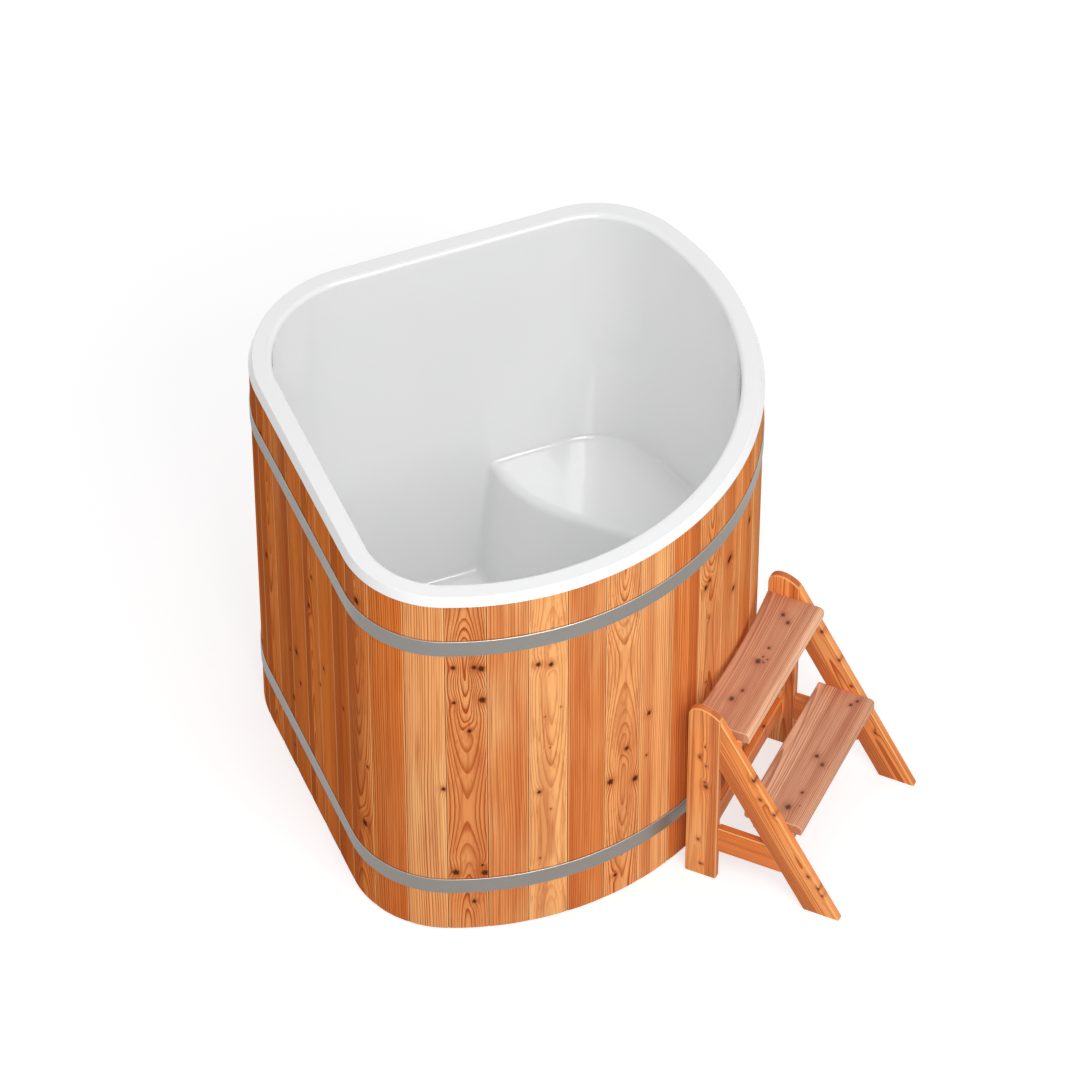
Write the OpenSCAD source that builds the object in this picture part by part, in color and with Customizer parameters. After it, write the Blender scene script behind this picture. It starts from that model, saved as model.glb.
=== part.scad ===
// Corner plunge tub: a stave tub with a moulded liner, steel hoops, a drain valve and a two-tread ladder.
// The origin is the centre of the round front on the floor. +Y points to the back corner.

/* [Tub plan] */
// Side of the square corner that the tub fills, measured along a back wall
wall_side = 1150; // [1000:10:1400]
// Radius of the round front
front_r = 722; // [640:2:760]
// Radius of the two side bends
side_r = 245; // [180:5:300]
// Radius of the back corner
back_r = 312; // [220:4:360]

/* [Staves] */
// Number of staves round the tub
stave_count = 41; // [36:1:46]
// Thickness of a stave
stave_t = 28; // [24:1:29]
// Height of a stave's lower end above the floor
stave_lift = 3; // [2:1:10]
// Height of the liner's lip over the floor, which the staves reach
lip_z = 1089; // [800:1:1300]
// Gap between two staves
seam_gap = 0.4; // [0.2:0.1:0.8]
// Eased edge along each outer corner of a stave
eased_edge = 2.5; // [1:0.5:4]
// Thickness of the tongue on a stave's edge
tongue_t = 6; // [4:0.5:8]
// Length of the tongue on a stave's edge
tongue_l = 5; // [3:0.5:6]
// Clearance round a tongue in its groove
tongue_fit = 0.4; // [0.2:0.1:0.8]

/* [Floor] */
// Height of a bearer
bearer_h = 20; // [15:1:45]
// Width of a bearer
bearer_w = 60; // [40:5:90]
// Distance between the bearers' middles
bearer_pitch = 330; // [250:10:380]
// Thickness of a floor board
board_t = 20; // [16:1:28]
// Number of floor boards
board_count = 8; // [6:1:10]
// Gap between two floor boards
board_gap = 3; // [2:0.5:8]
// Depth of the groove in the staves that holds the floor boards
croze_depth = 8; // [5:0.5:12]
// Clearance of the floor boards in the groove
croze_fit = 0.4; // [0.2:0.1:1]
// Gap between a bearer's end and the staves
bearer_gap = 3; // [1:0.5:10]
// Shank diameter of a floor screw
screw_d = 5; // [4:0.5:6]
// Length of a floor screw
screw_l = 32; // [26:1:34]
// Least distance from a floor screw to the end of its bearer
screw_end = 12; // [10:1:20]

/* [Hoops] */
// Width of a hoop
hoop_w = 46; // [30:1:60]
// Thickness of a hoop
hoop_t = 2; // [1.5:0.5:3]
// Height of the middle of the upper hoop
upper_hoop_z = 956; // [700:2:1200]
// Height of the middle of the lower hoop
lower_hoop_z = 154; // [140:2:300]
// Clearance between a hoop and the staves
hoop_fit = 0.3; // [0.2:0.1:1]
// Gap between the two lugs of a hoop's lock
lock_gap = 34; // [20:2:50]
// Distance that a lug stands out from the hoop
lug_h = 24; // [20:1:40]
// Diameter of a lock bolt
lock_bolt_d = 8; // [6:1:10]
// Clearance round a lock bolt in the lugs
lock_bolt_fit = 0.5; // [0.3:0.1:1]
// Distance from the hoop's face to the lock bolt's axis
lock_bolt_out = 14; // [12:0.5:16]

/* [Liner] */
// Thickness of the liner
skin = 6; // [5:0.5:8]
// Clearance between the liner's lip and the tops of the staves
lip_fit = 0.3; // [0.2:0.1:1]
// Height of the rim over its lip
rim_h = 23; // [20:1:30]
// Distance that the rim stands out over the staves
rim_over = 1; // [0.5:0.5:12]
// Distance from the staves' outer face to the liner's wall, just below the rim
rim_in = 36.5; // [36:0.5:44]
// Radius of the rim's outer edge
rim_outer_r = 15.5; // [10:0.5:16]
// Radius of the rim's inner edge
rim_inner_r = 12; // [6:0.5:14]
// Slope of the liner's wall from upright
wall_draft = 2; // [0:0.25:3]
// Radius between the liner's wall and its floor
floor_r = 22; // [10:1:40]
// Height of the seat over the floor
seat_z = 388; // [300:2:480]
// Distance from the middle of the tub to the seat's straight front
seat_x = 336; // [280:2:380]
// Radius of the bend in the seat's front
seat_bend_r = 370; // [340:5:400]
// Distance from the centre of the round front to the line where that bend starts
seat_bend_y = 160; // [120:5:200]
// Slope of the seat's front from upright
riser_draft = 7; // [0:0.5:10]

/* [Drain] */
// Height of the drain's axis over the floor
drain_z = 86; // [84:1:100]
// Number of staves from the front to the one that the drain passes through, as on the right
drain_stave = 17; // [16:1:17]
// Radius of the way through the drain
drain_bore_r = 12.5; // [10:0.5:13]
// Outer radius of the drain's tube
drain_tube_r = 17; // [16:0.5:18]
// Radius of the drain's flange
drain_flange_r = 30; // [28:1:32]
// Thickness of the drain's flange
drain_flange_t = 5; // [4:0.5:7]
// Thickness of the sealing ring under the flange
gasket_t = 2; // [1.5:0.5:3]
// Thickness of the flat pad on the liner at the drain
drain_pad_t = 16; // [14:1:20]
// Distance that the pad stands in from the liner's wall
drain_pad_in = 4; // [3:0.5:6]
// Distance that the pad reaches past the flange all round
drain_pad_edge = 6; // [2:0.5:8]
// Thickness of the drain's nut
drain_nut_t = 10; // [8:1:12]
// Clearance between the threads of the drain
thread_fit = 0.1; // [0.05:0.05:0.3]
// Clearance round the drain's tube in its stave
stave_hole_fit = 2; // [1:0.5:4]
// Clearance round the drain's tube in the liner
tube_fit = 0.4; // [0.2:0.1:1]
// Width of a nut's wall from its thread to its corners
nut_wall = 9; // [7:0.5:12]
// Gap between the staves and the valve
valve_gap = 8; // [4:1:20]
// Length of the thread that joins the drain to the valve, and of the one at the hose tail's end
thread_l = 12; // [10:1:16]
// Thickness of the valve's wall round its ball
valve_wall = 7; // [5:0.5:9]
// Height of the valve's neck over the drain's axis
neck_h = 30; // [28:1:32]
// Gap between the valve's neck and its lever
lever_lift = 0.5; // [0.3:0.1:2]
// Thickness of the valve's lever
lever_t = 3; // [2:0.5:4]
// Width of the valve's lever
lever_w = 16; // [12:1:20]
// Radius of the valve's ball
ball_r = 17; // [16.5:0.5:18]
// Running clearance of the valve's ball and spindle
valve_fit = 0.08; // [0.04:0.01:0.1]
// Radius of the valve's spindle
spindle_r = 5; // [4:0.5:6]
// Length of the valve's lever from its spindle
lever_l = 88; // [70:2:110]
// Radius of the hose tail
tail_r = 14; // [13.5:0.5:16]
// Length of the plain end of the hose tail
tail_l = 30; // [20:1:40]
// Thickness of the hose tail's wall
tail_wall = 3; // [2:0.5:4]
// Thickness of the stopper's cap
stopper_cap_t = 6; // [5:0.5:10]
// Length of the stopper's plug
stopper_l = 14; // [8:1:20]
// Radius of the stopper's pull ring
pull_ring_r = 11; // [8:0.5:14]
// Thickness of the pull ring's wire
pull_wire_d = 3; // [2:0.5:4]

/* [Ladder] */
// Width over the ladder's two frames
ladder_w = 485; // [400:5:560]
// Width of the boards of the ladder's frames
frame_w = 79; // [70:1:90]
// Thickness of the boards of the ladder's frames
frame_t = 20; // [18:0.5:24]
// Height of a post at its crown
post_h = 568; // [520:2:620]
// Radius of a post's crown at the back
crown_back_r = 30; // [15:1:40]
// Height of a post's crown over the top of its front edge
crown_rise = 22; // [12:1:30]
// Height of the top tread
top_tread_z = 510; // [500:1:520]
// Height of the lower tread
low_tread_z = 257; // [240:1:280]
// Depth of a tread from front to back
tread_d = 145; // [120:1:160]
// Thickness of a tread
tread_t = 29; // [24:1:34]
// Radius of a tread's upper front edge
nose_r = 12; // [6:0.5:16]
// Radius of a tread's other long edges
tread_edge_r = 5; // [2:0.5:8]
// Distance from the back of the ladder to the back of the lower tread
low_tread_back = 138; // [130:1:146]
// Angle of a leg from the floor
leg_angle = 60; // [58:0.5:64]
// Depth of the hollow in the top tread's back edge
tread_hollow = 11; // [0:1:25]
// Gap between the tub and the middle of that hollow
ladder_gap = 9.5; // [6:0.5:40]
// Distance that the ladder stands to the left of the middle
ladder_left = 17; // [0:1:40]
// Angle that the ladder is turned round the front
ladder_turn = 1.7; // [0:0.1:6]
// Height of a rail's lower edge
rail_z = 98; // [80:1:120]
// Distance that a rail is set back from the outer face of its frame
rail_set = 3; // [1:0.5:6]
// Height of the crossbar's lower edge
cross_z = 107; // [90:1:130]
// Height of the crossbar
cross_h = 50; // [40:1:70]
// Thickness of the crossbar
cross_t = 18; // [14:1:24]
// Distance from the back of the ladder to the back of the crossbar
cross_back = 32; // [24:1:40]
// Width of a cleat under a tread
cleat_w = 20; // [18:1:24]
// Height of a cleat under a tread
cleat_h = 24; // [20:1:30]
// Length of a cleat under a tread
cleat_l = 110; // [100:2:114]
// Distance from a tread's back to its cleats
cleat_back = 15; // [13:1:18]
// Clearance between a tread's end and the frame
tread_fit = 0.2; // [0.1:0.1:0.8]
// Diameter of a dowel
dowel_d = 8; // [6:1:10]
// Length of a dowel
dowel_l = 40; // [30:2:50]
// Height of the lower dowel over the leg's joint with the post
dowel_low = 45; // [30:1:60]
// Distance between the two dowels of a leg
dowel_pitch = 60; // [40:1:70]
// Distance from a rail's edge to the nearest dowel, and from the crossbar's edge
dowel_edge = 12; // [8:1:20]
// Depth of the crossbar's dowels in the posts
dowel_in_post = 12; // [8:1:15]
// Clearance round a dowel and a screw
peg_fit = 0.05; // [0.02:0.01:0.2]
// Shank diameter of a ladder screw
pin_d = 4; // [3:0.5:5]
// Length of a ladder screw from a cleat into the frame
pin_l = 34; // [30:1:36]
// Length of a ladder screw from a cleat into a tread
pin_up_l = 34; // [32:1:44]
// Distance from a cleat's end to the nearest screw
pin_end = 14; // [10:1:18]
// Distance between an upward and a sideways screw in a top cleat
pin_step = 18; // [12:1:22]
// Distance from the middle of a leg to each of the screws in a low cleat
pin_spread = 16; // [10:1:18]

/* [Hidden] */
$fn = 96;
tiny = 0.01;
diagonal = sqrt(0.5);

// The outline: a front arc, and on each side a side arc, a straight wall and half of the corner arc
wall_dist = wall_side - front_r;
side_turn = acos((wall_dist - side_r) / (front_r - side_r));
front_turn = 135 - side_turn;
side_c = (front_r - side_r) * [cos(45 - side_turn), sin(45 - side_turn)];
corner_c = [0, (wall_dist - back_r) / diagonal];
wall_start = side_c + side_r * [diagonal, diagonal];
wall_end = corner_c + back_r * [diagonal, diagonal];
wall_l = norm(wall_end - wall_start);
front_l = front_r * front_turn * PI / 180;
side_l = side_r * side_turn * PI / 180;
corner_l = back_r * PI / 4;
half_l = front_l + side_l + wall_l + corner_l;
pitch = 2 * half_l / stave_count;
// Flat faces round a bent stave, and in the same stretch of the liner
arc_steps = 8;
liner_steps = 4;

// A place on the outline, a distance s from the middle of the front, as [x, y, angle of its normal]
function on_arc(c, r, a) = [c[0] + r * cos(a), c[1] + r * sin(a), a];
function half_place(s) =
    s < front_l ? on_arc([0, 0], front_r, s / front_l * front_turn - 90)
    : s < front_l + side_l ? on_arc(side_c, side_r, 45 - side_turn + (s - front_l) / side_l * side_turn)
    : s < front_l + side_l + wall_l
        ? concat(wall_start + (s - front_l - side_l) * [-diagonal, diagonal], 45)
    : on_arc(corner_c, back_r, 45 + (s - half_l + corner_l) / corner_l * 45);
function mirrored(p) = [-p[0], p[1], 180 - p[2]];
function place(s) = s > half_l ? mirrored(half_place(2 * half_l - s)) : half_place(s);
// The point that lies along the outline and then inward from a place
function from_place(p, along, inward) =
    [p[0] - along * sin(p[2]) - inward * cos(p[2]), p[1] + along * cos(p[2]) - inward * sin(p[2])];

// Heights that follow from the pieces stacked on the floor
boards_z = bearer_h;
liner_z = boards_z + board_t;
well_z = liner_z + skin;
rim_z = lip_z + rim_h;
wall_top_z = rim_z - rim_inner_r;
stave_top = lip_z - lip_fit;
function wall_in(z) = rim_in + (wall_top_z - z) * tan(wall_draft);

// Staves
tongue_in = stave_t / 2;
groups = ceil(stave_count / 2);
function two_digits(n) = str(n < 10 ? "0" : "", n);
stave_nodes = [for (g = [1:groups]) str("staves_", two_digits(g))];
function flat_stave(k) =
    (k * pitch > front_l + side_l && (k + 1) * pitch < half_l - corner_l)
    || ((k + 1) * pitch < 2 * half_l - front_l - side_l && k * pitch > half_l + corner_l);

// Floor
croze_z = boards_z - croze_fit;
croze_h = board_t + 2 * croze_fit;
board_edge = stave_t - croze_depth + croze_fit;
boards_front = -(front_r - board_edge);
boards_back = corner_c[1] + back_r - board_edge;
board_step = (boards_back - boards_front + board_gap) / board_count;
bearer_edge = stave_t + bearer_gap;
screw_head_r = screw_d;
screw_head_h = screw_head_r / 2;
function front_reach(x) = -sqrt(pow(front_r - bearer_edge, 2) - x * x);
function back_reach(x) =
    x < (back_r - bearer_edge) * diagonal
        ? corner_c[1] + sqrt(pow(back_r - bearer_edge, 2) - x * x)
        : (wall_dist - bearer_edge) / diagonal - x;
// Where the screws hold each board to a bearer
function board_mid(i) = boards_front + (i + 0.5) * board_step - board_gap / 2;
function held(i, x) =
    board_mid(i) > front_reach(x + bearer_w / 2) + screw_end
    && board_mid(i) < back_reach(x + bearer_w / 2) - screw_end;
floor_screws = [for (x = [-bearer_pitch, 0, bearer_pitch], i = [0:board_count - 1])
    if (held(i, abs(x))) [x, board_mid(i)]];

// Drain
drain_place = place((drain_stave + 0.5) * pitch);
drain_wall = wall_in(drain_z);
pad_in = drain_wall + drain_pad_in;
pad_out = pad_in - drain_pad_t;
pad_r = drain_flange_r + drain_pad_edge;
flange_x = -(pad_in + gasket_t);
mouth_x = flange_x - drain_flange_t;
tube_end = valve_gap + thread_l;
chamber_r = ball_r + valve_fit;
valve_r = chamber_r + valve_wall;
ball_x = tube_end + chamber_r + valve_fit;
tail_x = ball_x + chamber_r + thread_l;
lever_z = neck_h + lever_lift;
nut_r = drain_tube_r + nut_wall;
stopper_r = drain_bore_r - valve_fit;
// The pull ring's stem runs from the ring into the stopper's cap
stem_r = 2;
stem_in = 6;
stem_l = stopper_cap_t + 4;
lever_nut_h = 6;
// Depth of the spindle's end in the ball
spindle_in = 4;

// Ladder, in its own place before it is turned: its back is the line y = ladder_back
ladder_back = -(front_r + ladder_gap - tread_hollow);
post_front = ladder_back - frame_w;
leg_foot = frame_w / sin(leg_angle);
inner_w = ladder_w - 2 * frame_t;
// The leg's upper edge meets the post's front at leg_join
leg_join = post_h - crown_rise;
leg_front = post_front - leg_join / tan(leg_angle);
leg_under = leg_join - frame_w / cos(leg_angle);
tread_l = inner_w - 2 * tread_fit;
hollow_r = (pow(tread_l / 2, 2) + pow(tread_hollow, 2)) / (2 * max(tread_hollow, tiny));
low_back = ladder_back - low_tread_back;
pin_head_r = pin_d;
pin_head_h = pin_head_r / 2;
top_cleat_y = ladder_back - cleat_back - cleat_l;
low_cleat_y = low_back - cleat_back - cleat_l;
cross_y = ladder_back - cross_back - cross_t / 2;
// How far the leg's underside lies in front of the post, at a height
function under_y(z) = post_front - (leg_under - z) / tan(leg_angle);
low_leg_y = under_y(low_tread_z - tread_t - cleat_h / 2) - leg_foot / 2;
rail_top = rail_z + frame_w;

function around(r, a) = r * [cos(a), sin(a)];
function arc_points(c, r, a0, a1, n) = [for (i = [0:n]) c + around(r, a0 + (a1 - a0) * i / n)];

larch = [0.80, 0.46, 0.22];
larch_dark = [0.72, 0.38, 0.18];
larch_light = [0.86, 0.56, 0.30];
steel = [0.62, 0.62, 0.61];
gel_white = [0.93, 0.94, 0.94];
brass_tone = [0.78, 0.66, 0.40];
black_rubber = [0.12, 0.12, 0.13];
lever_red = [0.75, 0.12, 0.10];

// The outline drawn outward by a distance, as points from the middle of the front round to the right
function ring(outward, steps) = [for (k = [0:stave_count - 1]) each concat(
    [from_place(place(k * pitch), 0, -outward)], stave_bend(k, -outward, steps))];
function stave_bend(k, inward, steps) =
    flat_stave(k) ? []
    : [for (i = [1:steps - 1]) from_place(place((k + i / steps) * pitch), 0, inward)];
function reversed(list) = [for (i = [len(list) - 1:-1:0]) list[i]];

// A solid whose rings follow the outline. Its edge is a list of [distance outward, height], from the ring
// round its underside, up the outside and, where it is hollow, down the inside.
module ring_solid(edge) {
    n = len(ring(0, liner_steps));
    rows = len(edge);
    polyhedron(
        points = [for (p = edge) each [for (q = ring(p[0], liner_steps)) [q[0], q[1], p[1]]]],
        faces = concat(
            [[for (i = [0:n - 1]) i]],
            [for (r = [0:rows - 2], i = [0:n - 1])
                [r * n + i, (r + 1) * n + i, (r + 1) * n + (i + 1) % n, r * n + (i + 1) % n]],
            [[for (i = [n - 1:-1:0]) (rows - 1) * n + i]]));
}

// Local frame at the end of a straight wall: X points out of the wall, -Y runs along it to the side bend
module on_wall() {
    translate([wall_end[0], wall_end[1], 0]) rotate([0, 0, 45]) children();
}

// Staves
module stave_section(k) {
    p = place(k * pitch);
    q = place((k + 1) * pitch);
    half_gap = seam_gap / 2;
    half_tongue = tongue_t / 2;
    half_groove = half_tongue + tongue_fit;
    groove_l = tongue_l + tongue_fit;
    polygon(concat(
        [from_place(p, half_gap, stave_t),
         from_place(p, half_gap, tongue_in + half_groove),
         from_place(p, half_gap + groove_l, tongue_in + half_groove),
         from_place(p, half_gap + groove_l, tongue_in - half_groove),
         from_place(p, half_gap, tongue_in - half_groove),
         from_place(p, half_gap, eased_edge),
         from_place(p, half_gap + eased_edge, 0)],
        stave_bend(k, 0, arc_steps),
        [from_place(q, -half_gap - eased_edge, 0),
         from_place(q, -half_gap, eased_edge),
         from_place(q, -half_gap, tongue_in - half_tongue),
         from_place(q, -half_gap + tongue_l, tongue_in - half_tongue),
         from_place(q, -half_gap + tongue_l, tongue_in + half_tongue),
         from_place(q, -half_gap, tongue_in + half_tongue),
         from_place(q, -half_gap, stave_t)],
        reversed(stave_bend(k, stave_t, arc_steps))));
}

module croze_section(k) {
    p = place(k * pitch);
    q = place((k + 1) * pitch);
    bottom = stave_t - croze_depth;
    past = stave_t + 3;
    polygon(concat(
        [from_place(p, -seam_gap, bottom)],
        stave_bend(k, bottom, arc_steps),
        [from_place(q, seam_gap, bottom), from_place(q, seam_gap, past)],
        reversed(stave_bend(k, past, arc_steps)),
        [from_place(p, -seam_gap, past)]));
}

module stave(k) {
    tone = [larch, larch_dark, larch, larch_light][k % 4];
    color(tone) difference() {
        translate([0, 0, stave_lift]) linear_extrude(stave_top - stave_lift) stave_section(k);
        translate([0, 0, croze_z]) linear_extrude(croze_h) croze_section(k);
        if (k == drain_stave) at_drain() along_drain(-stave_t - 5, 5) circle(drain_tube_r + stave_hole_fit);
    }
}

module stave_group(g) {
    stave(2 * g);
    if (2 * g + 1 < stave_count) stave(2 * g + 1);
}

// Floor
module bearer(x) {
    reach_x = abs(x) + bearer_w / 2;
    color(larch_dark) difference() {
        translate([x - bearer_w / 2, front_reach(reach_x), 0])
            cube([bearer_w, back_reach(reach_x) - front_reach(reach_x), bearer_h]);
        for (p = floor_screws) if (p[0] == x) floor_screw_hole(p);
    }
}

module floor_boards() {
    color(larch) difference() {
        translate([0, 0, boards_z]) linear_extrude(board_t) polygon(ring(-board_edge, arc_steps));
        for (i = [1:board_count - 1])
            translate([-front_r, boards_front + i * board_step - board_gap, boards_z - 1])
                cube([2 * front_r, board_gap, board_t + 2]);
        for (p = floor_screws) floor_screw_hole(p);
    }
}

// A screw, its head just under the boards' face. Its hole has the same slopes, further out by a fit.
module floor_screw_shape(p, fit) {
    top = liner_z - peg_fit;
    translate([p[0], p[1], top - screw_l - fit]) cylinder(h = screw_l, r = screw_d / 2 + fit);
    translate([p[0], p[1], top - screw_head_h - fit])
        cylinder(h = screw_head_h + 3 * fit, r1 = screw_d / 2 + fit, r2 = screw_head_r + 4 * fit);
}

module floor_screw_hole(p) {
    floor_screw_shape(p, peg_fit);
}

module floor_screws() {
    color(steel) for (p = floor_screws) floor_screw_shape(p, 0);
}

// Hoops
module hoop(z) {
    edge = hoop_fit + hoop_t;
    low = z - hoop_w / 2;
    lock_at = wall_l / 2;
    color(steel) difference() {
        union() {
            translate([0, 0, low]) linear_extrude(hoop_w) difference() {
                polygon(ring(edge, arc_steps));
                polygon(ring(hoop_fit, arc_steps));
            }
            // The two lugs of the lock, on the right-hand wall
            for (side = [-1, 1]) on_wall()
                translate([edge - tiny, -lock_at + side * (lock_gap + hoop_t) / 2 - hoop_t / 2, low])
                    cube([lug_h, hoop_t, hoop_w]);
        }
        on_wall() translate([0, -lock_at - lock_gap / 2, low - 1])
            cube([edge + lug_h, lock_gap, hoop_w + 2]);
        lock_bolt_axis(z)
            cylinder(h = lock_gap + 4 * hoop_t, r = lock_bolt_d / 2 + lock_bolt_fit, center = true);
    }
}

module lock_bolt_axis(z) {
    on_wall() translate([hoop_fit + hoop_t + lock_bolt_out, -wall_l / 2, z]) rotate([90, 0, 0]) children();
}

// A bolt through both lugs, with its head and its nut outside them
module lock_bolt(z) {
    lug_out = lock_gap / 2 + hoop_t;
    head_h = lock_bolt_d * 0.65;
    head_r = lock_bolt_d * 0.9;
    spare_l = lock_bolt_d;
    lock_bolt_axis(z) {
        translate([0, 0, -lug_out - head_h - spare_l])
            cylinder(h = 2 * (lug_out + head_h) + spare_l, r = lock_bolt_d / 2);
        translate([0, 0, lug_out]) cylinder(h = head_h, r = head_r, $fn = 6);
        translate([0, 0, -lug_out - head_h]) cylinder(h = head_h, r = head_r, $fn = 6);
    }
}

module lock_bolts() {
    color(steel) for (z = [upper_hoop_z, lower_hoop_z]) lock_bolt(z);
}

// Liner
module liner() {
    color(gel_white) difference() {
        union() {
            cup();
            seat_block();
            at_drain() along_drain(-pad_in, -pad_out) circle(pad_r);
        }
        seat_zone(skin, liner_z - 1);
        at_drain() along_drain(-pad_in - 1, -pad_out + 1) circle(drain_tube_r + tube_fit);
    }
}

module cup() {
    under_rim = rim_z - skin;
    toe_z = well_z + floor_r;
    toe_in = wall_in(toe_z) + floor_r / cos(wall_draft);
    ring_solid(concat(
        [[skin - wall_in(liner_z), liner_z],
         [skin - wall_in(under_rim), under_rim],
         [rim_over - skin, under_rim],
         [rim_over - skin, lip_z],
         [rim_over, lip_z]],
        arc_points([rim_over - rim_outer_r, rim_z - rim_outer_r], rim_outer_r, 0, 90, 6),
        arc_points([rim_inner_r - rim_in, wall_top_z], rim_inner_r, 90, 180 - wall_draft, 5),
        arc_points([-toe_in, toe_z], floor_r, -wall_draft, -90, 5)));
}

// The seat as a block that ends within the thickness of the cup's wall and floor
module seat_block() {
    mid_skin = skin / 2;
    intersection() {
        seat_zone(0, liner_z + mid_skin);
        ring_solid([
            [mid_skin - wall_in(liner_z), liner_z],
            [mid_skin - wall_in(seat_z), seat_z + 1]]);
    }
}

// The space under the seat's surface, drawn in by a thickness. It runs out through the liner's wall.
module seat_zone(inward, low) {
    high = seat_z - inward;
    lean = tan(riser_draft);
    front_low = seat_x + inward - (seat_z - low) * lean;
    front_high = seat_x + inward - (seat_z - high) * lean;
    far_x = seat_x + seat_bend_r;
    translate([0, -seat_bend_y, 0]) rotate([90, 0, 0]) linear_extrude(front_r)
        polygon([[front_low, low], [far_x, low], [far_x, high], [front_high, high]]);
    translate([far_x, -seat_bend_y, 0]) rotate([0, 0, 90]) rotate_extrude(angle = 90)
        polygon([[0, low], [far_x - front_low, low], [far_x - front_high, high], [0, high]]);
}

// Drain. Its local X points out of the right-hand wall, from the staves' outer face.
module at_drain() {
    translate([drain_place[0], drain_place[1], drain_z]) rotate([0, 0, drain_place[2]]) children();
}

module along_drain(from, to) {
    translate([from, 0, 0]) rotate([90, 0, 90]) linear_extrude(to - from) children();
}

module drain_ring(r_out, r_in) {
    difference() {
        circle(r_out);
        circle(r_in);
    }
}

module drain_fitting() {
    color(brass_tone) at_drain() {
        along_drain(flange_x - drain_flange_t, flange_x) drain_ring(drain_flange_r, drain_bore_r);
        along_drain(flange_x, tube_end) drain_ring(drain_tube_r, drain_bore_r);
    }
}

module drain_gasket() {
    color(black_rubber) at_drain() along_drain(flange_x, -pad_in)
        drain_ring(drain_flange_r - 1, drain_tube_r + thread_fit);
}

module drain_nut() {
    color(brass_tone) at_drain() along_drain(-pad_out, -pad_out + drain_nut_t) difference() {
        circle(nut_r, $fn = 6);
        circle(drain_tube_r + thread_fit);
    }
}

module drain_stopper() {
    cap_edge = 5;
    color(black_rubber) at_drain() difference() {
        union() {
            along_drain(mouth_x - stopper_cap_t, mouth_x) circle(drain_bore_r + cap_edge);
            along_drain(mouth_x - tiny, mouth_x + stopper_l) circle(stopper_r);
        }
        along_drain(mouth_x - stopper_cap_t - 1, mouth_x - stem_l + stem_in) circle(stem_r + valve_fit);
    }
}

module stopper_ring() {
    color(steel) at_drain() {
        along_drain(mouth_x - stem_l - pull_wire_d / 2, mouth_x - stem_l + stem_in - valve_fit)
            circle(stem_r);
        translate([mouth_x - stem_l - pull_ring_r, 0, 0]) rotate([90, 0, 0]) rotate_extrude()
            translate([pull_ring_r, 0]) circle(pull_wire_d / 2, $fn = 24);
    }
}

module valve_body() {
    neck_r = spindle_r + 5;
    recess_x = tail_x - thread_l;
    color(brass_tone) at_drain() difference() {
        union() {
            along_drain(valve_gap, tube_end + 2) circle(nut_r, $fn = 6);
            along_drain(tube_end, recess_x + 2) circle(valve_r);
            along_drain(recess_x, tail_x) circle(nut_r, $fn = 6);
            translate([ball_x, 0, 0]) cylinder(h = neck_h, r = neck_r);
        }
        along_drain(valve_gap - 1, tube_end + valve_fit) circle(drain_tube_r + thread_fit);
        along_drain(valve_gap, tail_x + 1) circle(drain_bore_r - 2);
        along_drain(recess_x - valve_fit, tail_x + 1) circle(tail_r + thread_fit);
        translate([ball_x, 0, 0]) sphere(chamber_r);
        translate([ball_x, 0, 0]) cylinder(h = neck_h + 1, r = spindle_r + valve_fit);
    }
}

// The ball is drawn closed, with its way across the pipe
module valve_ball() {
    color(steel) at_drain() translate([ball_x, 0, 0]) difference() {
        sphere(ball_r);
        rotate([90, 0, 0]) cylinder(h = 3 * ball_r, r = drain_bore_r - 2, center = true);
        translate([0, 0, ball_r - spindle_in]) cylinder(h = ball_r, r = spindle_r + valve_fit);
    }
}

module valve_spindle() {
    foot_z = ball_r - spindle_in + valve_fit;
    color(steel) at_drain() translate([ball_x, 0, foot_z])
        cylinder(h = lever_z + lever_t + lever_nut_h + 1 - foot_z, r = spindle_r);
}

module valve_lever() {
    end_r = lever_w / 2;
    color(lever_red) at_drain() translate([ball_x, 0, lever_z]) difference() {
        union() {
            cylinder(h = lever_t, r = spindle_r + 6);
            translate([-end_r, end_r - lever_l, 0]) cube([lever_w, lever_l - end_r, lever_t]);
            translate([0, end_r - lever_l, 0]) cylinder(h = lever_t, r = end_r);
        }
        translate([0, 0, -1]) cylinder(h = lever_t + 2, r = spindle_r + valve_fit);
    }
}

module lever_nut() {
    color(steel) at_drain() translate([ball_x, 0, lever_z + lever_t]) difference() {
        cylinder(h = lever_nut_h, r = spindle_r + 4, $fn = 6);
        translate([0, 0, -1]) cylinder(h = lever_nut_h + 2, r = spindle_r + valve_fit);
    }
}

module hose_tail() {
    collar_l = 5;
    collar_r = tail_r + 5;
    color(brass_tone) at_drain() difference() {
        union() {
            along_drain(tail_x - thread_l, tail_x + tail_l) circle(tail_r);
            along_drain(tail_x, tail_x + collar_l) circle(collar_r, $fn = 6);
        }
        along_drain(tail_x - thread_l - 1, tail_x + tail_l + 1) circle(tail_r - tail_wall);
    }
}

// Ladder
module in_ladder() {
    rotate([0, 0, -ladder_turn]) translate([-ladder_left, 0, 0]) children();
}

// A board on edge, drawn in a plane across the ladder as (y, z), from x to x + t
module side_board(x, t) {
    translate([x, 0, 0]) rotate([90, 0, 90]) linear_extrude(t) children();
}

module frame_board(side) {
    side_board(side < 0 ? -ladder_w / 2 : ladder_w / 2 - frame_t, frame_t) children();
}

// The crown rises in an arc at the back and falls in a wider one to the leg
module post_shape() {
    crown_c = [ladder_back - crown_back_r, post_h - crown_back_r];
    slope_l = frame_w - crown_back_r;
    polygon(concat(
        [[post_front, 0], [ladder_back, 0]],
        arc_points(crown_c, crown_back_r, 0, 90, 10),
        [for (i = [1:8]) [crown_c[0] - slope_l * i / 8, post_h - crown_rise * pow(i / 8, 2)]]));
}

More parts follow.
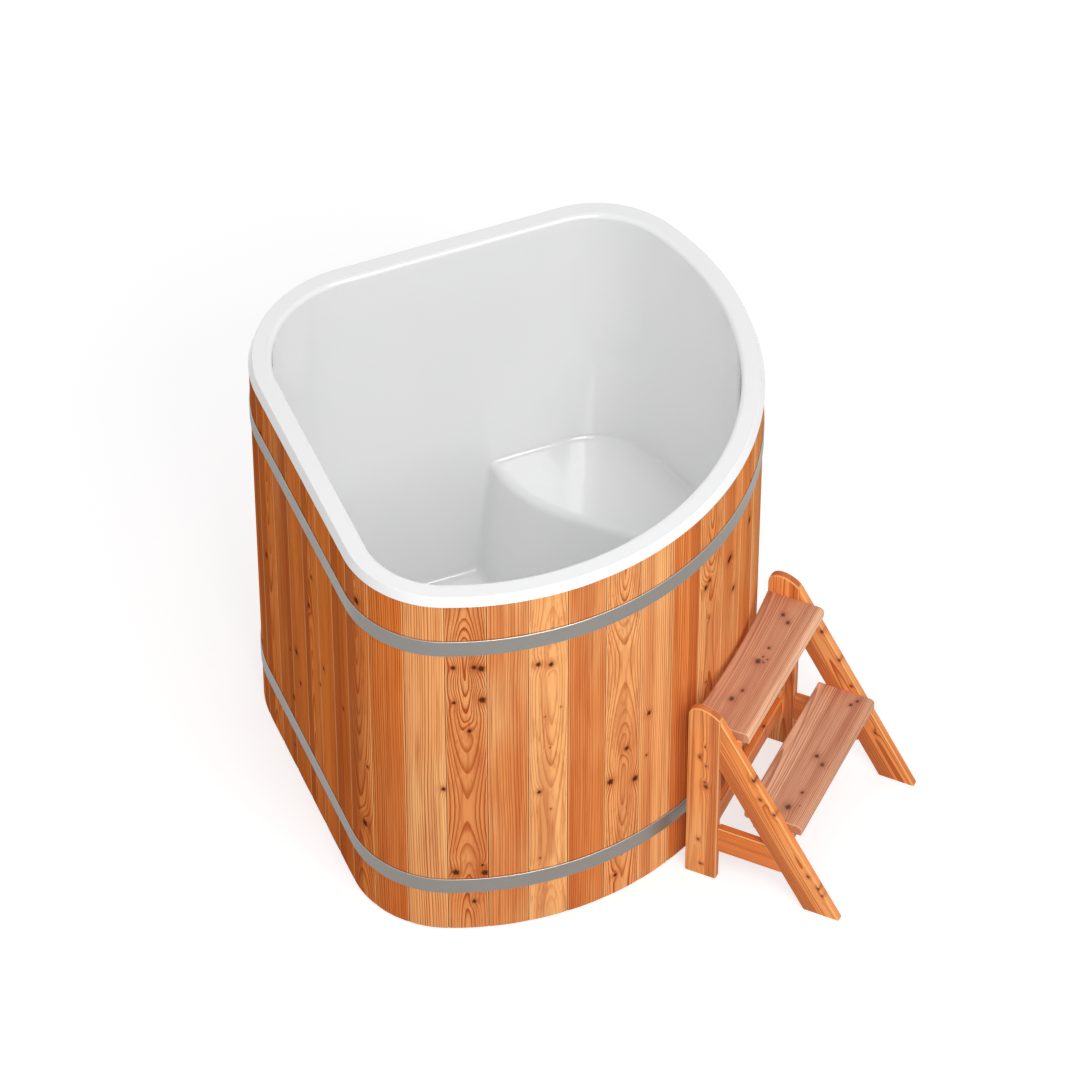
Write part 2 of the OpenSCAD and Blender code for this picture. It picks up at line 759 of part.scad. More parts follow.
module post(side) {
    color(larch) in_ladder() difference() {
        frame_board(side) post_shape();
        frame_dowels_at(side, peg_fit);
        cross_dowels_at(side, peg_fit);
        frame_screws_at(side, peg_fit);
    }
}

module leg(side) {
    color(larch) in_ladder() difference() {
        frame_board(side) polygon([
            [post_front, leg_under], [post_front, leg_join],
            [leg_front, 0], [leg_front + leg_foot, 0]]);
        frame_dowels_at(side, peg_fit);
        frame_screws_at(side, peg_fit);
    }
}

module rail(side) {
    x = side < 0 ? -ladder_w / 2 + rail_set : ladder_w / 2 - frame_t - rail_set;
    color(larch_dark) in_ladder() difference() {
        side_board(x, frame_t) polygon([
            [post_front, rail_z], [post_front, rail_top],
            [under_y(rail_top), rail_top], [under_y(rail_z), rail_z]]);
        frame_dowels_at(side, peg_fit);
    }
}

// The frames' dowels lie along Y, across the joints of post and leg, post and rail, and rail and leg
join_dowels = [for (z = [leg_under + dowel_low, leg_under + dowel_low + dowel_pitch]) [0, post_front, z]];
rail_dowels = [for (z = [rail_z + dowel_edge, rail_top - dowel_edge])
    each [[rail_set / 2, post_front, z], [rail_set / 2, under_y(z), z]]];

module frame_dowels_at(side, fit) {
    for (p = concat(join_dowels, rail_dowels))
        translate([side * (ladder_w / 2 - frame_t / 2 - p[0]), p[1], p[2]]) rotate([90, 0, 0])
            cylinder(h = dowel_l + 2 * fit, r = dowel_d / 2 + fit, center = true);
}

// The crossbar's dowels lie along X, two at each end
module cross_dowels_at(side, fit) {
    for (z = [cross_z + dowel_edge, cross_z + cross_h - dowel_edge])
        translate([side * (inner_w / 2 + dowel_in_post - dowel_l / 2), cross_y, z]) rotate([0, 90, 0])
            cylinder(h = dowel_l + 2 * fit, r = dowel_d / 2 + fit, center = true);
}

module frame_dowels() {
    color(larch_light) in_ladder() for (side = [-1, 1]) {
        frame_dowels_at(side, 0);
        cross_dowels_at(side, 0);
    }
}

// A tread with a round nose, its back edge at y = back, hollowed by a depth
module tread(back, top, hollow) {
    low = top - tread_t;
    nose_y = back - tread_d;
    edge_r = tread_edge_r;
    color(larch_dark) in_ladder() difference() {
        side_board(-tread_l / 2, tread_l) polygon(concat(
            [[back, low + edge_r]],
            arc_points([back - edge_r, top - edge_r], edge_r, 0, 90, 4),
            arc_points([nose_y + nose_r, top - nose_r], nose_r, 90, 180, 8),
            arc_points([nose_y + edge_r, low + edge_r], edge_r, 180, 270, 4),
            [[back - edge_r, low]]));
        if (hollow > 0) translate([0, back - hollow + hollow_r, low - 1])
            cylinder(h = tread_t + 2, r = hollow_r, $fn = 360);
        for (side = [-1, 1]) tread_screws_at(side, top, peg_fit);
    }
}

module top_tread() {
    tread(ladder_back, top_tread_z, tread_hollow);
}

module lower_tread() {
    tread(low_back, low_tread_z, 0);
}

module crossbar() {
    color(larch_dark) in_ladder() difference() {
        translate([-tread_l / 2, cross_y - cross_t / 2, cross_z]) cube([tread_l, cross_t, cross_h]);
        for (side = [-1, 1]) cross_dowels_at(side, peg_fit);
    }
}

// Cleats carry the treads. Each is screwed sideways to the frame and upwards to its tread.
module cleat(side, y, top) {
    x = side < 0 ? -inner_w / 2 : inner_w / 2 - cleat_w;
    color(larch_light) in_ladder() difference() {
        translate([x, y, top - tread_t - cleat_h]) cube([cleat_w, cleat_l, cleat_h]);
        frame_screws_at(side, peg_fit);
        tread_screws_at(side, top, peg_fit);
    }
}

// Places along Y of the screws, sideways into the frame and upwards into each tread
top_side_ys = [top_cleat_y + pin_end + pin_step, top_cleat_y + cleat_l - pin_end];
top_up_ys = [top_cleat_y + pin_end, top_cleat_y + cleat_l - pin_end - pin_step];
low_side_ys = [low_leg_y - pin_spread, low_leg_y + pin_spread];
low_up_ys = [low_cleat_y + pin_end, low_cleat_y + cleat_l - pin_end];

module frame_screws_at(side, fit) {
    for (row = [[top_side_ys, top_tread_z], [low_side_ys, low_tread_z]], y = row[0])
        translate([side * (inner_w / 2 - cleat_w), y, row[1] - tread_t - cleat_h / 2])
            rotate([0, 90 * side, 0]) screw_shape(pin_l, fit);
}

module tread_screws_at(side, top, fit) {
    for (y = top == top_tread_z ? top_up_ys : low_up_ys)
        translate([side * (inner_w / 2 - cleat_w / 2), y, top - tread_t - cleat_h])
            screw_shape(pin_up_l, fit);
}

module screw_shape(l, fit) {
    translate([0, 0, -fit]) cylinder(h = l + 2 * fit, r = pin_d / 2 + fit);
    translate([0, 0, -fit]) cylinder(h = pin_head_h + 2 * fit, r1 = pin_head_r + fit, r2 = pin_d / 2 + fit);
}

module ladder_screws() {
    color(steel) in_ladder() for (side = [-1, 1]) {
        frame_screws_at(side, 0);
        tread_screws_at(side, top_tread_z, 0);
        tread_screws_at(side, low_tread_z, 0);
    }
}

for (g = [0:groups - 1]) stave_group(g);
liner();
hoop(upper_hoop_z);  // upper_hoop
hoop(lower_hoop_z);  // lower_hoop
lock_bolts();
bearer(-bearer_pitch);  // left_bearer
bearer(0);  // middle_bearer
bearer(bearer_pitch);  // right_bearer
floor_boards();
floor_screws();
drain_fitting();
drain_gasket();
drain_nut();
drain_stopper();
stopper_ring();
valve_body();
valve_ball();
valve_spindle();
valve_lever();
lever_nut();
hose_tail();
post(-1);  // left_post
post(1);  // right_post
leg(-1);  // left_leg
leg(1);  // right_leg
rail(-1);  // left_rail
rail(1);  // right_rail
top_tread();
lower_tread();
crossbar();
cleat(-1, top_cleat_y, top_tread_z);  // top_left_cleat
cleat(1, top_cleat_y, top_tread_z);  // top_right_cleat
cleat(-1, low_cleat_y, low_tread_z);  // low_left_cleat
cleat(1, low_cleat_y, low_tread_z);  // low_right_cleat
frame_dowels();
ladder_screws();
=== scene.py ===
import math
import random

import bmesh
import bpy
import numpy as np
from mathutils import Matrix, Vector


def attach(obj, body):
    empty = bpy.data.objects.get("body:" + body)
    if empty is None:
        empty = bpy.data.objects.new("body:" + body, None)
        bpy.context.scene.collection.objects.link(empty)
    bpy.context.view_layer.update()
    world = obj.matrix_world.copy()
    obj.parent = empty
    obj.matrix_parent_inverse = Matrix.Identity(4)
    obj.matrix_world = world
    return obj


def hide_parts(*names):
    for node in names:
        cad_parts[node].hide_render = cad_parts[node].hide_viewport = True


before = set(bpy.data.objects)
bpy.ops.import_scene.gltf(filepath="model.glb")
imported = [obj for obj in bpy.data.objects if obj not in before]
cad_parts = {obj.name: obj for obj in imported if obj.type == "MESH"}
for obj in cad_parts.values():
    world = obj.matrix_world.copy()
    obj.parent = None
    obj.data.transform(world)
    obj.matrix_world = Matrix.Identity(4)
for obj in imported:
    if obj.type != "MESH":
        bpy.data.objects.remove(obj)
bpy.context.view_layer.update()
print("frame loaded:", len(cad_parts), "nodes")

# Camera, at the angle the tub is seen from
cameraView = dict(azimuth=-67.129, elevation=45.811, target=(0.06808, -0.19590, 0.575), away=14.4029, lens=204.375,
                  sensor=36, clip=200)

turn, rise = math.radians(cameraView["azimuth"]), math.radians(cameraView["elevation"])
backward = Vector((math.sin(turn) * math.cos(rise), -math.cos(turn) * math.cos(rise), math.sin(rise)))
sideways = Vector((math.cos(turn), math.sin(turn), 0))
upward = backward.cross(sideways)
eye = bpy.data.objects.new("camera", bpy.data.cameras.new("camera"))
eye.data.lens = cameraView["lens"]
eye.data.sensor_width = cameraView["sensor"]
eye.data.clip_end = cameraView["clip"]
stand = [cameraView["target"][i] + backward[i] * cameraView["away"] for i in range(3)]
eye.matrix_world = Matrix([(sideways[i], upward[i], backward[i], stand[i]) for i in range(3)] + [(0, 0, 0, 1)])
bpy.context.scene.collection.objects.link(eye)
bpy.context.scene.camera = eye
print("camera set")


# Node sums written as Python
class Wire:
    def __init__(self, recipe, socket):
        self.recipe = recipe
        self.socket = socket

    def combine(self, operation, first, second):
        return self.recipe.node("Math", dict(operation=operation), {0: first, 1: second})

    def __add__(self, other): return self.combine("ADD", self, other)
    def __radd__(self, other): return self.combine("ADD", other, self)
    def __sub__(self, other): return self.combine("SUBTRACT", self, other)
    def __rsub__(self, other): return self.combine("SUBTRACT", other, self)
    def __mul__(self, other): return self.combine("MULTIPLY", self, other)
    def __rmul__(self, other): return self.combine("MULTIPLY", other, self)
    def __truediv__(self, other): return self.combine("DIVIDE", self, other)
    def __pow__(self, other): return self.combine("POWER", self, other)

    def does(self, operation, *others):
        return self.recipe.node("Math", dict(operation=operation), dict(enumerate((self,) + others)))

    def axis(self, which):
        return self.recipe.node("SeparateXYZ", {}, {0: self}, which)

    def between(self, low, high):        # 0 below low, 1 above high, smooth between
        return self.recipe.node("MapRange", dict(interpolation_type="SMOOTHSTEP"),
                                {"Value": self, "From Min": low, "From Max": high, "To Min": 0.0, "To Max": 1.0})

    def near(self, width):               # 1 at nought, falling off over a width
        return (self / width * (self / width) * -1.0).does("EXPONENT")


class Recipe:
    def __init__(self, owner):           # a new material, or the sky
        self.owner = owner
        owner.use_nodes = True
        self.tree = owner.node_tree
        self.tree.nodes.clear()

    def node(self, kind, settings=None, values=None, out=0):
        made = self.tree.nodes.new("ShaderNode" + kind)
        for key, setting in (settings or {}).items():
            setattr(made, key, setting)
        for key, value in (values or {}).items():
            if isinstance(value, Wire):
                self.tree.links.new(value.socket, made.inputs[key])
            else:
                made.inputs[key].default_value = value
        return Wire(self, made.outputs[out]) if out is not None else made

    def stored(self, name, out=1):       # an attribute kept on the mesh, as a vector
        return self.node("Attribute", dict(attribute_name=name), {}, out)

    def spot(self):                      # a point in the object's own place
        return self.node("TexCoord", {}, {}, 3)

    def noise(self, place, scale, detail=2.0, roughness=0.5, out=0):
        return self.node("TexNoise", {}, {"Vector": place, "Scale": scale, "Detail": detail,
                                          "Roughness": roughness}, out)

    def mix(self, amount, first, second):   # colours
        return self.node("Mix", dict(data_type="RGBA"), {0: amount, 6: first, 7: second}, 2)

    def vector(self, x, y, z):
        return self.node("CombineXYZ", {}, {0: x, 1: y, 2: z})

    def seen(self):                      # 1 for what the camera sees, straight or mirrored
        straight, mirrored = [self.node("LightPath", {}, {}, which) for which in (0, 3)]
        return straight.does("MAXIMUM", mirrored)

    def bump(self, height, strength, distance):
        return self.node("Bump", {}, {"Height": height, "Strength": strength, "Distance": distance})

    def finish(self, **sockets):
        named = {key.replace("_", " "): value for key, value in sockets.items()}
        surface = self.node("BsdfPrincipled", {}, named)
        self.node("OutputMaterial", {}, {"Surface": surface}, None)
        return self.owner


def shade(red, green, blue):             # a colour as it is written on screen, 0 to 255
    def plain(part):
        part /= 255
        return part / 12.92 if part <= 0.04045 else ((part + 0.055) / 1.055) ** 2.4
    return plain(red), plain(green), plain(blue), 1.0


# Wood. Rings are circles round the heart of the log that each board was sawn from. Lengths are in metres
thermoWood = dict(
    ringWidth=0.0044, broad=0.4, heart=0.6, sheen=0.0, light=shade(252, 181, 116), middle=shade(223, 135, 76),
    dark=shade(174, 72, 24), knot=shade(66, 32, 20), pale=shade(254, 203, 138), deep=shade(186, 92, 46),
    amber=shade(250, 136, 54))
frameLook = dict(thermoWood, ringWidth=0.0038, broad=0.32, sheen=0.16, light=shade(254, 170, 98),
                 middle=shade(246, 145, 74), knot=shade(92, 48, 32))
treadLook = dict(
    thermoWood, ringWidth=0.0042, heart=0.45, sheen=0.2, light=shade(254, 206, 168), middle=shade(254, 200, 162),
    dark=shade(160, 84, 54), pale=shade(252, 196, 158), deep=shade(176, 102, 70), knot=shade(80, 58, 50),
    amber=shade(230, 144, 100))
# The last keys place painted marks: shadow lines just above the hoops, a highlight along rounded edges and shade in
# the seams
woodFacts = dict(wave=0.016, swell=0.0026, hoopShadowLines=(0.9803, 0.1783), hoopShadowWide=0.0014, relief=0.0006,
                 edgeShine=(0.0008, 0.0016), edgeShineFade=(0.0026, 0.0036), seamShade=(0.0002, 0.001))


def knotsInto(r, radius):                # the rings bend round the two nearest knots
    dark, halo = 0.0, 0.0
    for which in ("knotNear", "knotNext"):
        knot = r.stored(which)
        x, y, size = knot.axis(0), knot.axis(1), knot.axis(2)
        reach = (x * x + y * y * 0.7 + 0.0001).does("SQRT")
        star = r.noise(r.vector(x / reach * 2.3, y / reach * 2.3, size * 900.0), 1.0, 2.0, 0.7)
        swirl = (size * 320.0).does("MINIMUM", 1.0)
        bend = (x * x + y * y * 0.25).does("SQRT").near(2.3)
        radius = radius + size * bend * swirl
        rough = reach * (star * 1.1 + 0.35)
        dark = dark + (1.0 - rough.between(0.4, 1.2))
        halo = halo + reach.near(2.2) * swirl
    return radius, dark, halo


def woodMaterial(name, look, plain=None, grain=(1, 2, 0)):
    r = Recipe(bpy.data.materials.new(name))
    if plain is None:
        board, looks = r.stored("logPlace"), r.stored("boardLook")
        tone, red, contrast = looks.axis(0), looks.axis(1), looks.axis(2)
    else:                                # for pieces kept from the frame, which store nothing on their mesh
        spot = r.spot()
        parts = [spot.axis(which) for which in grain]
        board = r.vector(parts[0] + plain["across"], parts[1] + plain["depth"], parts[2])
        tone, red, contrast = plain["tone"], plain["red"], plain["contrast"]
    across, depth, along = board.axis(0), board.axis(1), board.axis(2)
    # The rings' radius, with slow waves
    slow = r.noise(r.vector(across * 0.8, depth * 0.8, along), 1.9, 1.0, 0.3, 1)
    swell = r.noise(r.vector(across * 12, depth * 12, along * 2.6), 1.0, 1.0)
    wideX = across + (slow.axis(0) - 0.5) * woodFacts["wave"]
    wideY = depth + (slow.axis(1) - 0.5) * woodFacts["wave"]
    radius = (wideX * wideX + wideY * wideY).does("SQRT") + (swell - 0.5) * woodFacts["swell"]
    if plain is None:
        radius, knotDark, knotHalo = knotsInto(r, radius)
    # Late wood, dark and narrow at the end of each year. Some years leave a fainter ring
    ring = radius / look["ringWidth"] + r.noise(r.vector(radius * 60, 0.0, 0.0), 1.0, 1.0) * 2.0
    step = ring.does("FRACT")
    late = (step.between(0.2, 0.9) * (1.0 - step.between(0.92, 1.0))) ** 2.2
    thin = r.noise(r.vector(radius * 150, 7.0, 0.0), 1.0, 1.0).between(0.3, 0.6)
    fade = r.noise(r.vector(radius * 45, along * 1.2, 3.0), 1.0, 1.0).between(0.25, 0.7)
    fibre = r.noise(r.vector(across * 430, depth * 430, along * 6), 1.0, 2.0, 0.6)
    streak = r.noise(r.vector(across * 110, depth * 110, along * 1.5), 1.0, 2.0, 0.6)
    edges = r.stored("edgePlace") if plain is None else r.vector(1.0, 1.0, 9.0)
    edge, heart, high = edges.axis(0), edges.axis(1), edges.axis(2)
    heartWood = 1.0 - (heart + (swell - 0.5) * 0.02).between(-0.0015, 0.004)
    broad = r.noise(r.vector(across * 26, depth * 26, along * 0.8), 1.0, 1.0)
    patch = r.noise(r.vector(across * 9, depth * 9, along * 2.2), 1.0, 2.0, 0.55)
    base = r.mix(tone, look["middle"], look["light"])
    base = r.mix(patch.between(0.4, 0.7) * 0.45, base, look["pale"])
    base = r.mix(red, base, look["amber"])
    base = r.mix(heartWood * look["heart"], base, look["deep"])
    base = r.mix(broad.between(0.46, 0.68) * look["broad"], base, look["deep"])
    base = r.mix(streak.between(0.5, 0.66) * 0.34, base, look["deep"])
    strength = late * (fade * 0.6 + 0.4) * (thin * 0.5 + 0.7) * contrast * 1.3
    base = r.mix(strength.does("MINIMUM", 0.95), base, look["dark"])
    base = r.mix(fibre.between(0.5, 0.8) * 0.46, base, look["dark"])
    if plain is None:
        # End grain drinks more oil
        facing = r.node("NewGeometry", {}, {}, 1)
        turned = r.node("VectorMath", dict(operation="DOT_PRODUCT"),
                        {0: facing, 1: r.stored("grainWay")}, 1)
        base = r.mix((turned * turned).between(0.25, 0.8) * 0.55, base, look["deep"])
        # A thin painted shadow, in the knot colour, lies on the wood just above each hoop
        upper, lower = [(high - line).near(woodFacts["hoopShadowWide"]) for line in woodFacts["hoopShadowLines"]]
        base = r.mix((upper + lower).does("MINIMUM", 1.0) * 0.5, base, look["knot"])
        # Painted highlight along the rounded edges, and painted shade in the seams
        edgeShine = edge.between(*woodFacts["edgeShine"]) * (1.0 - edge.between(*woodFacts["edgeShineFade"]))
        base = r.mix(edgeShine * 0.5, base, look["pale"])
        # Painted shade in the seams between staves, in the knot colour
        base = r.mix((1.0 - edge.between(*woodFacts["seamShade"])) * 0.5, base, look["knot"])
        base = r.mix(knotHalo.does("MINIMUM", 1.0) * 0.68, base, look["deep"])
        base = r.mix(knotDark.does("MINIMUM", 1.0) * 0.92, base, look["knot"])
    height = 1.0 - late * 0.5 + fibre * 0.35
    return r.finish(Base_Color=base, Roughness=fibre * 0.10 + late * 0.06 + 0.46, Specular_IOR_Level=look["sheen"],
                    Normal=r.bump(height, 0.22, woodFacts["relief"]))


staveWood = woodMaterial("stave wood", thermoWood)
frameWood = woodMaterial("ladder wood", frameLook)
treadWood = woodMaterial("tread wood", treadLook)
bearerWood = woodMaterial("bearer wood", thermoWood,
                          dict(across=0.03, depth=0.05, tone=0.4, red=0.25, contrast=0.6), (0, 2, 1))
boardWood = woodMaterial("floor board wood", thermoWood,
                         dict(across=0.04, depth=0.06, tone=0.5, red=0.15, contrast=0.6))
dowelWood = woodMaterial("dowel wood", thermoWood,
                         dict(across=0.02, depth=0.03, tone=0.8, red=0.0, contrast=0.4), (0, 2, 1))
print("wood materials made")


# Steel, brass, rubber, paint and gelcoat
def metalMaterial(name, colour, roughness, scratch, strip=None):
    def tinted(share):
        return tuple(min(part * share, 1) for part in colour[:3]) + (1,)

    r = Recipe(bpy.data.materials.new(name))
    spot = r.spot()
    if strip:                            # brushed along the strip, with a painted highlight along its top and bottom edges
        place = r.stored("stripPlace")
        ground = (place.axis(1) * place.axis(1)).does("SQRT").between(*strip["ground"])
        brushed = r.noise(r.vector(place.axis(0) * strip["along"], place.axis(1) * strip["up"], 0.0), 1.0, 3.0, 0.6)
    else:
        brushed = r.noise(spot, 900.0, 2.0, 0.6)
    cloud = r.noise(spot, 9.0, 3.0, 0.6)
    base = r.mix(brushed.between(0.3, 0.8) * 0.35, colour, tinted(0.72))
    base = r.mix(cloud.between(0.4, 0.8) * 0.3, base, tinted(0.86))
    if strip:
        # Painted highlight: a lighter base colour along the strip's top and bottom edges
        base = r.mix(ground * 0.8, base, tinted(2.4))
        speck = r.noise(spot, 420.0, 1.0)
        base = r.mix(speck.between(0.68, 0.76) * strip["spots"], base, tinted(1.7))
    return r.finish(Base_Color=base, Metallic=1.0, Roughness=(brushed * scratch * 0.3 + cloud * 0.1 + roughness),
                    Normal=r.bump(brushed, scratch * 0.5, 0.0002))


def plainMaterial(name, colour, dark, roughness, grain, bumpy, coat=0.0):
    r = Recipe(bpy.data.materials.new(name))
    spot = r.spot()
    fine = r.noise(spot, grain)
    cloud = r.noise(spot, 14.0)
    base = r.mix(cloud.between(0.35, 0.75) * 0.5, colour, dark)
    return r.finish(Base_Color=base, Coat_Weight=coat, Roughness=(fine * 0.12 + roughness),
                    Normal=r.bump(fine, bumpy, 0.0004))


# The hoops get a painted highlight along their top and bottom edges
hoopSteel = metalMaterial("hoop steel", shade(142, 140, 136), 0.34, 0.35,
                          dict(along=6.0, up=2600.0, ground=(0.0221, 0.0226), spots=0.5))
boltSteel = metalMaterial("bolt steel", shade(176, 176, 174), 0.28, 0.2)
valveSteel = metalMaterial("valve steel", shade(184, 184, 182), 0.22, 0.15)
drainBrass = metalMaterial("drain brass", shade(196, 164, 96), 0.26, 0.25)
sealRubber = plainMaterial("seal rubber", shade(38, 38, 40), shade(28, 28, 30), 0.52, 900.0, 0.25)
leverPaint = plainMaterial("lever paint", shade(176, 36, 30), shade(156, 28, 26), 0.32, 520.0, 0.12, 0.4)


def gelcoatMaterial():
    r = Recipe(bpy.data.materials.new("gelcoat"))
    spot = r.spot()
    ripple = r.noise(spot, 22.0)
    cloud = r.noise(spot, 5.0)
    speck = r.noise(spot, 700.0, 1.0)
    base = r.mix(cloud.between(0.3, 0.8) * 0.5, shade(245, 245, 245), shade(243, 244, 244))
    base = r.mix(speck.between(0.7, 0.8) * 0.12, base, shade(226, 228, 229))
    return r.finish(Base_Color=base, Roughness=(ripple * 0.02 + 0.02), Normal=r.bump(ripple, 0.01, 0.0008),
                    Coat_Weight=0.45, Coat_Roughness=0.01)


gelcoat = gelcoatMaterial()
print("other materials made")

# The outline in plan, in millimetres: a wide front round, two side rounds, two straight walls and a corner
tub = dict(frontRound=722.0, sideRound=245.0, cornerRound=312.0, wallSide=1150.0, staves=41)
diagonal = math.sqrt(0.5)
quarter = math.pi / 4
wallAway = tub["wallSide"] - tub["frontRound"]
sideTurn = math.acos((wallAway - tub["sideRound"]) / (tub["frontRound"] - tub["sideRound"]))
frontTurn = 3 * quarter - sideTurn
sideWay = np.array([math.cos(quarter - sideTurn), math.sin(quarter - sideTurn)])
sideHeart = (tub["frontRound"] - tub["sideRound"]) * sideWay
cornerHeart = np.array([0.0, (wallAway - tub["cornerRound"]) / diagonal])
wallStart = sideHeart + tub["sideRound"] * diagonal
wallLength = np.linalg.norm(cornerHeart + tub["cornerRound"] * diagonal - wallStart)
frontLength, sideLength = tub["frontRound"] * frontTurn, tub["sideRound"] * sideTurn
halfLength = frontLength + sideLength + wallLength + tub["cornerRound"] * quarter
pitch = 2 * halfLength / tub["staves"]


def outlineAt(s):                        # points on the staves' outer face, and the way out from them
    s = np.mod(np.asarray(s, float), 2 * halfLength)
    t = np.minimum(s, 2 * halfLength - s)
    toSide, toWall, toCorner = frontLength, frontLength + sideLength, frontLength + sideLength + wallLength
    front, side = t / tub["frontRound"] - 2 * quarter, quarter - sideTurn + (t - toSide) / tub["sideRound"]
    angle = np.select([t < toSide, t < toWall, t < toCorner], [front, side, quarter],
                      quarter + (t - toCorner) / tub["cornerRound"])
    radius = np.select([t < toSide, t < toCorner], [tub["frontRound"], tub["sideRound"]], tub["cornerRound"])
    slide = np.clip(t - toWall, 0, wallLength) * (t < toCorner)
    heartX = np.select([t < toSide, t < toCorner], [0.0, sideHeart[0]], cornerHeart[0])
    heartY = np.select([t < toSide, t < toCorner], [0.0, sideHeart[1]], cornerHeart[1])
    outX, outY = np.cos(angle), np.sin(angle)
    x = heartX + radius * outX - slide * diagonal
    y = heartY + radius * outY + slide * diagonal
    sign = np.where(s > halfLength, -1.0, 1.0)
    return np.stack([x * sign, y], -1), np.stack([outX * sign, outY], -1)


def inwardOf(x, y):                      # how far a point lies inside that outline
    x = np.abs(x)
    flat = wallAway - (x + y) * diagonal
    wide = tub["frontRound"] - np.hypot(x, y)
    sideAngle = np.arctan2(y - sideHeart[1], x - sideHeart[0])
    inSide = (sideAngle > quarter - sideTurn) & (sideAngle < quarter)
    side = tub["sideRound"] - np.hypot(x - sideHeart[0], y - sideHeart[1])
    inCorner = (y - cornerHeart[1]) > x
    corner = tub["cornerRound"] - np.hypot(x, y - cornerHeart[1])
    return np.where(inSide, side, np.where(inCorner, corner, np.minimum(wide, flat)))


def newPiece(name, points, faces, material, body, replaced, stored={}):
    mesh = bpy.data.meshes.new(name)
    mesh.from_pydata([tuple(point) for point in np.asarray(points, float) / 1000], [], faces)
    for key, values in stored.items():
        store = mesh.attributes.new(key, "FLOAT_VECTOR", "POINT")
        store.data.foreach_set("vector", np.asarray(values, float).ravel())
    mesh.materials.append(material)
    piece = bpy.data.objects.new(name, mesh)
    bpy.context.scene.collection.objects.link(piece)
    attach(piece, body)
    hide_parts(replaced)
    return piece


def smoothOver(mesh, degrees):
    mesh.polygons.foreach_set("use_smooth", np.ones(len(mesh.polygons), bool))
    mesh.set_sharp_from_angle(angle=math.radians(degrees))


# Knots are kept on the face corners: the nearest two, as across and along in radii, and the radius
knotFacts = dict(none=90.0, swell=1.2)


def placeKnots(mesh, knots, spread):
    count = len(mesh.loops)
    board = np.zeros(len(mesh.vertices) * 3)
    mesh.attributes["boardPlace"].data.foreach_get("vector", board)
    board = board.reshape(-1, 3)
    corners = np.zeros(count, int)
    mesh.loops.foreach_get("vertex_index", corners)
    near = np.zeros((2, count, 3))
    near[:, :, :2] = knotFacts["none"]
    owner = spread[corners]
    for boardNumber in np.unique(spread):
        own = knots.get(int(boardNumber), [])
        if not own:
            continue
        own = np.array(own, float) / 1000 * (1, 1, knotFacts["swell"])
        for polygon in mesh.polygons:
            loops = np.arange(polygon.loop_start, polygon.loop_start + polygon.loop_total)
            if owner[loops[0]] != boardNumber:
                continue
            here = board[corners[loops]]
            middle = here.mean(0)
            away = np.hypot(own[:, 0] - middle[0], own[:, 1] - middle[2])
            for rank, which in enumerate(np.argsort(away)[:2]):
                size = own[which, 2]
                near[rank, loops, 0] = (here[:, 0] - own[which, 0]) / size
                near[rank, loops, 1] = (here[:, 2] - own[which, 1]) / size
                near[rank, loops, 2] = size
    for rank, key in enumerate(("knotNear", "knotNext")):
        mesh.attributes.new(key, "FLOAT_VECTOR", "CORNER").data.foreach_set("vector", near[rank].ravel())


# Staves, in millimetres. Each is one board: its kind says where its log's heart lies, across and behind its face
staveFacts = dict(thick=28.0, low=3.0, high=1088.7, gap=0.2, eased=2.5, crown=0.5, rows=27, endRow=30, foot=1.0,
                  tongue=(11.0, 17.0, 5.0), groove=(10.6, 17.4, 5.4), seed=5)
staveKinds = dict(straight=dict(across=(110, 190), behind=(10, 50), lean=(0.0, 0.006), stretch=1.4),
                  arched=dict(across=(-8, 8), behind=(10, 18), lean=(0.0, 0.0), stretch=1.2))
plainStaves = (31, 32, 33, 34, 36, 37, 39)     # no darker heartwood down one side
# How far the heart lies behind the face at some heights: the arches turn over where it is nearest or furthest
heartLines = {26: [(0, 12), (1089, 46)], 29: [(0, 34), (150, 46), (1089, 5)],
              39: [(0, 16), (700, 46), (1089, 10)], 32: [(0, 12), (410, 48), (930, 7), (1089, 26)],
              34: [(0, 24), (250, 44), (800, 14), (1089, 36)], 36: [(0, 36), (385, 9), (800, 48), (1089, 12)]}
# Kind, tone from brown to honey, redness, strength of the rings
# Staves 22 to 30, on the left wall, and stave 38, beside the ladder, have redder and browner looks: partly their
# own tone, partly painted shade where they stand in shade
staveLooks = {
    0: ("straight", 0.25, 0.25, 0.6), 22: ("straight", 0.1, 0.7, 0.6), 23: ("arched", 0.4, 0.7, 0.6),
    24: ("straight", 0.0, 0.45, 0.9), 25: ("straight", 0.6, 0.85, 0.6), 26: ("arched", 0.45, 0.7, 0.65),
    27: ("straight", 0.6, 0.85, 0.6), 28: ("straight", 0.0, 0.8, 0.6), 29: ("arched", 0.4, 0.6, 0.7),
    30: ("straight", 0.0, 0.55, 0.75), 31: ("straight", 0.85, 0.0, 0.66), 32: ("arched", 0.25, 0.0, 0.95),
    33: ("straight", 0.2, 0.0, 0.55), 34: ("arched", 1.0, 0.0, 0.42), 35: ("straight", 0.0, 0.0, 0.52),
    36: ("arched", 0.7, 0.0, 0.72), 37: ("straight", 0.9, 0.0, 0.6), 38: ("straight", 0.1, 0.4, 0.7),
    39: ("arched", 0.5, 0.1, 0.7), 40: ("straight", 0.5, 0.2, 0.6)}
